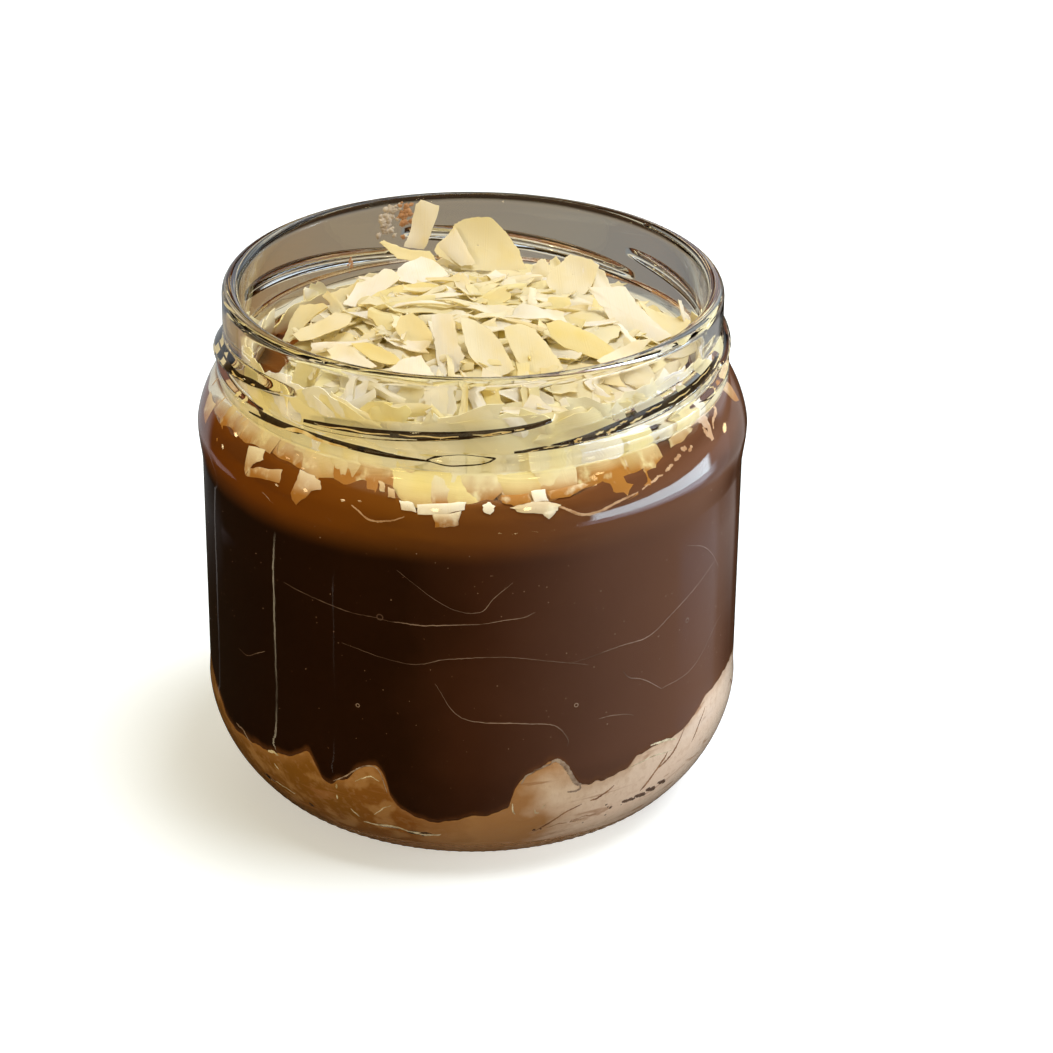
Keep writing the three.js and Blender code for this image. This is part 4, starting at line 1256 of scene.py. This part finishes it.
def side_shavings():
    """Shavings pressed flat against the wall round the heap's side, lower at the back."""
    draw = np.random.default_rng(23)
    heap = Heap()
    for row, (number, heights, lengths, widths, most, depth) in enumerate(SIDE_ROWS):
        for i in range(number):
            azimuth = within_turn(i * 360 / number + draw.uniform(-4, 4) + row * 5)
            height = draw.uniform(*heights)
            bends = -draw.uniform(0.05, 0.25), -draw.uniform(0.0, 0.15), draw.normal() * 0.1
            points, faces, across = shaving(
                draw, draw.uniform(*lengths), draw.uniform(*widths), *bends, 8, 4
            )
            turn, deep = draw.uniform(-most, most), depth + draw.uniform(0, 0.25)
            tone = float(np.clip(draw.normal(0.35, 0.4), 0, 1))
            stain, gold = draw.uniform(0.7, 1.5), max(0.0, draw.uniform(-0.35, 0.6))
            behind = smooth(abs(azimuth), 84, 104)
            if behind > 0.5 and height > 70.5:
                continue
            placed = at_wall(points, azimuth, height * mm, turn, (deep + 0.6 * behind) * mm)
            edge = sauce_edge(azimuth) + 0.5 * mm
            wet = 1 - smooth(placed[:, 2], edge - mm, edge + 2.8 * mm)
            heap.add(placed, faces, across, tone, gold, wet * stain)
    return heap.mesh("side_shavings")


# Shavings that have sunk into the sauce, as outlines at the wall: how pale, how stained above and
# below, and points (azimuth, height in mm).
SUNK_SHAVINGS = (
    (0.2, 0.15, 0.75, (-54.9, 62.6), (-55.9, 65.2), (-56.5, 66.5), (-54.0, 66.8), (-51.0, 67.0),
     (-50.6, 65.9), (-52.6, 65.0), (-53.4, 64.0)),
    (0.2, 0.4, 0.8, (-54.7, 62.5), (-53.6, 64.0), (-51.0, 64.9), (-48.1, 65.2), (-44.2, 66.0),
     (-44.0, 64.2), (-45.9, 64.0), (-49.2, 63.6)),
    (0.5, 0.2, 0.95, (-39.7, 66.7), (-36.6, 66.6), (-33.9, 66.1), (-33.2, 65.2), (-35.2, 64.6),
     (-36.6, 63.4), (-38.8, 61.9), (-40.0, 62.4), (-40.4, 63.8), (-39.6, 65.4)),
    (0.2, 0.35, 0.5, (-20.6, 67.8), (-19.2, 67.6), (-18.7, 66.6), (-19.9, 66.5)),
    (0.2, 0.35, 0.5, (-18.0, 67.2), (-16.6, 67.0), (-16.4, 66.0), (-17.8, 66.0)),
    (0.6, 0.0, 0.25, (-15.4, 65.8), (-12.4, 65.9), (-11.6, 64.7), (-14.6, 64.7)),
    (0.7, 0.0, 0.2, (-11.6, 65.6), (-6.0, 65.9), (-1.4, 66.2), (-1.8, 65.2), (-6.5, 64.4),
     (-11.2, 64.2)),
    (0.5, 0.0, 0.95, (-8.3, 64.6), (-5.2, 64.6), (-2.4, 65.1), (-2.8, 63.0), (-5.2, 62.7),
     (-7.4, 62.6)),
    (0.8, 0.0, 0.1, (3.2, 66.2), (2.0, 65.7), (2.0, 65.1), (3.2, 64.6), (4.4, 64.9), (4.6, 65.7)),
    (0.4, 0.25, 0.2, (7.6, 65.3), (9.6, 65.7), (12.4, 65.9), (15.6, 65.8), (18.4, 65.1),
     (17.4, 64.4), (15.2, 64.1), (12.2, 64.4), (9.2, 64.8)),
    (0.6, 0.1, 0.3, (14.0, 64.5), (17.4, 64.6), (17.0, 64.0), (15.6, 63.4), (14.8, 63.9)),
    (0.3, 0.7, 0.9, (6.2, 66.8), (12.0, 66.9), (12.2, 65.8), (8.6, 65.6), (6.0, 66.0)),
    (0.8, 0.0, 0.1, (12.4, 67.2), (15.4, 67.2), (15.8, 65.9), (12.8, 65.7)),
    (0.3, 0.6, 0.8, (16.0, 66.9), (23.6, 67.2), (25.6, 66.9), (20.8, 66.0), (16.4, 65.9)),
    (0.3, 0.4, 0.8, (80, 68.6), (86, 68.4), (85, 65.6), (81, 66.4)),
    (0.3, 0.3, 0.8, (118, 68.2), (127, 68.4), (124, 65.4), (119, 66.0)),
    (0.3, 0.3, 0.8, (158, 68), (166, 68.2), (168, 65), (160, 65.6)),
    (0.3, 0.3, 0.8, (-150, 67.6), (-142, 67.4), (-143, 64.6), (-149, 65)),
    (0.3, 0.3, 0.8, (-112, 67), (-103, 67.2), (-104, 64.2), (-110, 64.6)),
    (0.3, 0.3, 0.8, (-85, 66.6), (-77, 66.8), (-78, 63.8), (-83, 64.4)),
)


def sunk_shavings():
    """Flat patches on the sauce's wall, with a slightly domed middle."""
    draw = np.random.default_rng(24)
    heap = Heap()
    for tone, above, below, *outline in SUNK_SHAVINGS:
        corners = np.array(outline)
        ring = worn_outline(draw, corners, (0, 0.33, 0.67), (0.1, 0.06))
        low, high = corners[:, 1].min(), corners[:, 1].max()
        flat = np.vstack([mix(corners.mean(0), ring, share) for share in (1, 0.93, 0.5, 0.02)])
        rise = np.repeat((0.02, 0.16, 0.24, 0.26), len(ring)) * mm
        height = flat[:, 1] * mm
        placed = polar(cavity_radius(height) + WET + rise, flat[:, 0], height)
        wet = 1.5 * mix(below, above, np.clip((flat[:, 1] - low) / (high - low), 0, 1))
        heap.add(placed, ring_faces(0, len(ring), 3), flat[:, 0] * DEGREE, tone, 0.1, wet)
    return heap.mesh("sunk_shavings")


def heap_core():
    """The dome under the shavings, uneven all over."""
    low = 62 * mm
    profile = [(0, low), (CORE_RADIUS, low)]
    profile += [(CORE_RADIUS, z * mm) for z in (65, 67, 69, 71, 73, 74)]
    for share in np.linspace(0.98, 0, 18):
        radius = CORE_RADIUS * share
        profile.append((radius, dome_height(radius) - CORE_DEPTH))
    core = spun("shavings_core", profile, CORE_STEPS)

    def swell(azimuth, radius, height):
        share = radius / CORE_RADIUS
        front = CORE_FORWARD * np.maximum(0, np.cos(np.radians(azimuth))) ** 0.6 * share**2
        lump = CORE_LUMP * np.sin(radius / mm * 1.3 + azimuth / 9) * (height > 74 * mm)
        ahead = smooth(np.cos(np.radians(azimuth)) * radius, *AHEAD)
        lump = lump - CORE_DIP * ahead * (height > 74.2 * mm)
        most = np.minimum(1, (heap_reach(azimuth) - CORE_IN) / (CORE_RADIUS + front))
        return (radius + front) * most, height + lump

    reshape(core, swell)
    add_attribute(core, "across", points_of(core)[:, 1] / mm)
    add_attribute(core, "tone", np.full(len(core.data.vertices), 0.2))
    for title in ("stain", "gold"):
        add_attribute(core, title, np.zeros(len(core.data.vertices)))
    return core


def shavings():
    ivory = shaving_finish("white chocolate")
    # Painted light: the shavings at the glass and those sunk in the sauce glow by lit. Painted
    # shade: the core, in shade, is deeper golden by deep.
    flat = shaving_finish("white chocolate with painted glow at the glass", 0.0, 0.06, 0.11)
    deep = shaving_finish("white chocolate in shade", 0.35, 0.06)
    parts = {large_shavings: ivory, top_shavings: ivory, side_shavings: flat, heap_core: deep}
    for part, finish in parts.items():
        hand_in(part(), finish, "white_chocolate", "white_chocolate_shavings")
    hand_in(sunk_shavings(), flat, "white_chocolate")


# ---------------------------------------------------------------------------------------- smears


# Smears as clouds of dabs: how many, azimuth and height in mm, their spreads, and least and most
# radius in mm.
PALE_CLOUDS = (
    (40, (-156.5, 81.6), (1.2, 1.2), (0.25, 0.7)), (16, (-159, 83.4), (1.2, 0.6), (0.1, 0.4)),
)
TAN_CLOUDS = (
    (40, (-162, 82.2), (1.0, 1.3), (0.2, 0.6)), (14, (-146.2, 75.4), (0.35, 0.8), (0.16, 0.35)),
)


def smears():
    """Dabs left on the inside of the neck at the back."""
    draw = np.random.default_rng(31)

    def spots(clouds):
        for number, (at, up), (wide, high), sizes in clouds:
            for _ in range(number):
                yield at + draw.normal() * wide, up + draw.normal() * high, draw.uniform(*sizes)

    pale, tan = list(spots(PALE_CLOUDS)), list(spots(TAN_CLOUDS))
    dull = plain_finish("pale smear", (0.42, 0.35, 0.29), (0.62, 0.55, 0.48), 0.6)
    dabs("pale_smears", pale, dull, "white_chocolate", 32)
    warm = plain_finish("tan smear", (0.36, 0.18, 0.09), (0.56, 0.32, 0.18), 0.6)
    dabs("tan_smears", tan, warm, "cream", 33)


# ------------------------------------------------------------------------------ lit surroundings

CAMERA_PLACE = (0, -0.473056, 0.279555)
CAMERA_TARGET = (0.008735, 0, 0.042105)
CAMERA_ROLL = 0.657
CAMERA_LENS = 111.74


def camera():
    data = bpy.data.cameras.new("camera")
    data.lens, data.sensor_width, data.clip_start = CAMERA_LENS, 36, 0.01
    obj = linked("camera", data)
    forward = Vector(CAMERA_TARGET) - Vector(CAMERA_PLACE)
    aim = forward.to_track_quat("-Z", "Y").to_matrix()
    roll = Matrix.Rotation(math.radians(CAMERA_ROLL), 3, "Z")
    obj.matrix_world = Matrix.Translation(CAMERA_PLACE) @ (aim @ roll).to_4x4()
    bpy.context.scene.camera = obj


def direction(azimuth, elevation):
    """The unit vector that points at an azimuth and elevation."""
    turn, rise = math.radians(azimuth), math.radians(elevation)
    flat = math.cos(rise)
    return Vector((math.sin(turn) * flat, -math.cos(turn) * flat, math.sin(rise)))


# Lamps: azimuth and elevation, size (m), watts and colour, and how far off if not as the rest.
LAMPS = {
    "window": (95, 12, (0.5, 0.45), 4.6, (0.86, 0.93, 1.0)),
    "ceiling": (80, 76, (0.28, 0.28), 4.4, (0.97, 0.98, 0.94), 0.7),
    "left": (-48, 18, (0.4, 0.4), 3.2, (1.0, 0.82, 0.50)),
    "behind": (170, 38, (0.6, 0.3), 1.2, (1.0, 0.93, 0.84)),
}
LAMP_DISTANCE, LAMP_TARGET = 0.8, Vector((0, 0, 0.06))


def area_light(name, azimuth, elevation, size, watts, color, distance=LAMP_DISTANCE):
    """A soft lamp that looks at the neck. It isn't seen itself, nor mirrored in the glass."""
    data = bpy.data.lights.new(name, "AREA")
    data.shape, data.size, data.size_y = "RECTANGLE", *size
    data.energy, data.color = watts, color
    obj = linked(name, data)
    out = direction(azimuth, elevation) * distance
    place = Matrix.Translation(LAMP_TARGET + out)
    obj.matrix_world = place @ out.to_track_quat("Z", "Y").to_matrix().to_4x4()
    for seen in ("visible_camera", "visible_glossy", "visible_transmission"):
        setattr(obj, seen, False)


# Bright patches that the jar mirrors: azimuth and elevation range, how soft each way, colour and
# strength.
MIRRORED = (
    ((104, 126), (-26.3, -5), (8, 4), (0.95, 0.86, 0.88), 0.62),
    ((50, 104), (-22, -11), (10, 3), (0.86, 0.82, 1.0), 2.2),
    ((50, 108), (-10.5, -2.5), (4, 1.2), (0.76, 0.90, 1.0), 10.0),
    ((66, 106), (-15, -11), (12, 3), (0.74, 0.84, 1.0), 4.5),
    ((124, 150), (-25, -6), (8, 4), (0.95, 0.85, 0.8), 0.5),
    ((132, 176), (10, 60), (10, 10), (0.75, 0.88, 1.0), 1.2),
    ((-134, -118), (-25.5, -19), (3, 1.5), (1.0, 0.84, 0.88), 0.5),
    ((-166, -140), (-20, 30), (8, 8), (0.9, 0.95, 1.0), 0.5),
    ((-94.2, -93.5), (-27.2, -21), (0.3, 3.4), (1.0, 0.82, 0.52), 2.8),
    ((-145.2, -144.2), (-26, -20), (0.5, 4), (1.0, 0.95, 0.9), 0.3),
    ((-61.4, -61.1), (-27, -22), (0.2, 3), (1.0, 0.95, 0.9), 0.6),
    ((-50, 50), (24, 40), (6, 6), (1.0, 0.82, 0.5), 1.0),
)
# What the jar mirrors besides: all round, high up, and in a wide band on its right.
ROOM, CEILING, RIGHT_LIFT = (0.02, 0.013, 0.007), (0.20, 0.15, 0.09), (0.62, 0.41, 0.30)
# Small warm lamps that the jar mirrors: azimuth, elevation and radius, and strength.
SPARKS = (
    (-115, 5, 1.4, 14), (-121, -8, 1.0, 10), (-84, -2, 1.2, 9), (-70, 5, 1.5, 12),
    (-86, 22, 1.4, 7), (-76, 20, 1.4, 8), (-53, 8, 1.2, 14), (-46, 11, 1.0, 6),
    (-15, 14, 1.8, 14), (11, -16, 1.2, 9),
    (17, -21, 1.3, 9), (25, -20, 1.3, 9), (33, -23, 1.1, 5), (22, 14, 2.0, 15), (127, -3, 2.4, 11),
    (60, 35, 2.4, 12), (35, 55, 2.4, 14), (-40, 48, 2.4, 12),
)
SPARK_COLOR = (1.0, 0.80, 0.42)
# What shows through the glass: on the left and the right, near the level and above, and far down.
BEHIND_LEFT, BEHIND_RIGHT = (0.36, 0.225, 0.08), (0.235, 0.25, 0.25)
BEHIND_HIGH, BEHIND_LOW = (0.75, 0.68, 0.50), (0.025, 0.017, 0.010)
# Soft light from above and from the table, on the left and the right, and from under the jar.
LIGHT_LEFT, LIGHT_RIGHT = (0.38, 0.29, 0.11), (0.36, 0.31, 0.17)
TABLE_LEFT, TABLE_RIGHT, UNDER_JAR = (0.34, 0.24, 0.12), (0.62, 0.58, 0.54), (0.04, 0.03, 0.02)
PLAIN = (0.97, 0.97, 0.97, 1)  # what the camera sees past the floor


def mirrored_room(paint, towards, x, y, z):
    """What the glass mirrors: a dim room with bright patches and small warm lamps."""
    azimuth = x.maths("ARCTAN2", x, y * -1) * (180 / math.pi)
    elevation = z.maths("ARCSINE", z) * (180 / math.pi)
    room = paint.blend(elevation.step(0, 70), ROOM, CEILING)
    lift = azimuth.step(-5, 75) * (1 - azimuth.step(112, 150)) * elevation.between(-60, 0, 12)
    room = paint.blend(lift, room, RIGHT_LIFT)
    for (left, right), (low, high), (soft, soft_up), color, strength in MIRRORED:
        patch = azimuth.between(left, right, soft) * elevation.between(low, high, soft_up)
        room = paint.blend(patch, room, tuple(c * strength for c in color), "LIGHTEN")
    for turn, rise, radius, strength in SPARKS:
        along = {0: towards, 1: tuple(direction(turn, rise))}
        near = paint.add("ShaderNodeVectorMath", {"operation": "DOT_PRODUCT"}, along, ("Value",))
        size = math.cos(math.radians(radius)), math.cos(math.radians(radius * 0.5))
        glow = tuple(c * strength for c in SPARK_COLOR)
        room = paint.blend(near.step(*size), room, glow, "LIGHTEN")
    return room


def behind_glass(paint, x, z):
    """What shows through the glass."""
    backdrop = paint.blend(x.step(-0.35, 0.25), BEHIND_LEFT, BEHIND_RIGHT)
    backdrop = paint.blend(z.step(-0.30, -0.16), backdrop, BEHIND_HIGH)
    return paint.blend(z.step(-0.66, -0.50), BEHIND_LOW, backdrop)


def soft_light(paint, x, z):
    """The soft light that falls on the contents."""
    above = paint.blend(x.step(-0.9, 0.9), LIGHT_LEFT, LIGHT_RIGHT)
    below = paint.blend(x.step(-0.8, 0.8), TABLE_LEFT, TABLE_RIGHT)
    below = paint.blend(z.step(-0.99, -0.9), UNDER_JAR, below)
    return paint.blend(z.step(-0.5, 0.1), below, above)


def world():
    """What lies all round, which is not the same for each kind of ray.

    Soft light comes from plain colours, the glass mirrors a room and shows a backdrop through
    it, and the camera sees plain white.
    """
    made = bpy.data.worlds.new("studio")
    bpy.context.scene.world = made
    made.cycles.sampling_method = "NONE"
    paint = Paint(made)
    towards = paint.add("ShaderNodeTexCoord", outputs=("Generated",))
    x, y, z = paint.split(towards)
    seen, diffuse, through = paint.light_path("Camera", "Diffuse", "Transmission")
    back = through * y.step(-0.15, 0.15) * (1 - z.step(0.12, 0.28))
    mirrored, backdrop = mirrored_room(paint, towards, x, y, z), behind_glass(paint, x, z)
    sharp = paint.blend(back, mirrored, backdrop)
    soft, sharp, plain = (
        paint.add("ShaderNodeBackground", None, {"Color": color})
        for color in (soft_light(paint, x, z), sharp, PLAIN)
    )
    lit = paint.mixed(seen, paint.mixed(diffuse, sharp, soft), plain)
    paint.finish(lit, "ShaderNodeOutputWorld")


FLOOR_SIZE, FLOOR_TINT, FLOOR_GLOW = 6, (0.8, 0.9, 1.0, 1), 0.3


def floor():
    deselect()
    bpy.ops.mesh.primitive_plane_add(size=FLOOR_SIZE)
    obj = bpy.context.object
    obj.name = "studio_floor"
    bpy.ops.object.mode_set(mode="EDIT")
    bpy.ops.mesh.subdivide(number_cuts=3)
    bpy.ops.object.mode_set(mode="OBJECT")
    made, paint = material("pale floor")
    soft = paint.noise(paint.place(), 0.002, 1.0)
    colour = paint.ramp(soft, [(0.2, (0.82, 0.87, 0.98)), (0.8, (0.84, 0.89, 1.0))])
    inputs = {"Emission Color": FLOOR_TINT, "Emission Strength": FLOOR_GLOW}
    paint.finish(paint.shine(colour, 0.9, inputs | {"Specular IOR Level": 0.0}))
    obj.data.materials.append(made)
    obj.visible_glossy = obj.visible_transmission = obj.visible_diffuse = False


def studio():
    floor()
    world()
    camera()
    for name, lamp in LAMPS.items():
        area_light(name, *lamp)
    view = bpy.context.scene.view_settings
    view.view_transform, view.look = "Standard", "None"
    cycles = bpy.context.scene.cycles
    cycles.max_bounces, cycles.transmission_bounces, cycles.transparent_max_bounces = 10, 8, 12
    cycles.diffuse_bounces, cycles.glossy_bounces = 6, 4
    cycles.caustics_reflective = cycles.caustics_refractive = False


# ------------------------------------------------------------------------------------------ whole

glass_jar()
chocolate_sauce()
cream()
marks()
shavings()
smears()
studio()
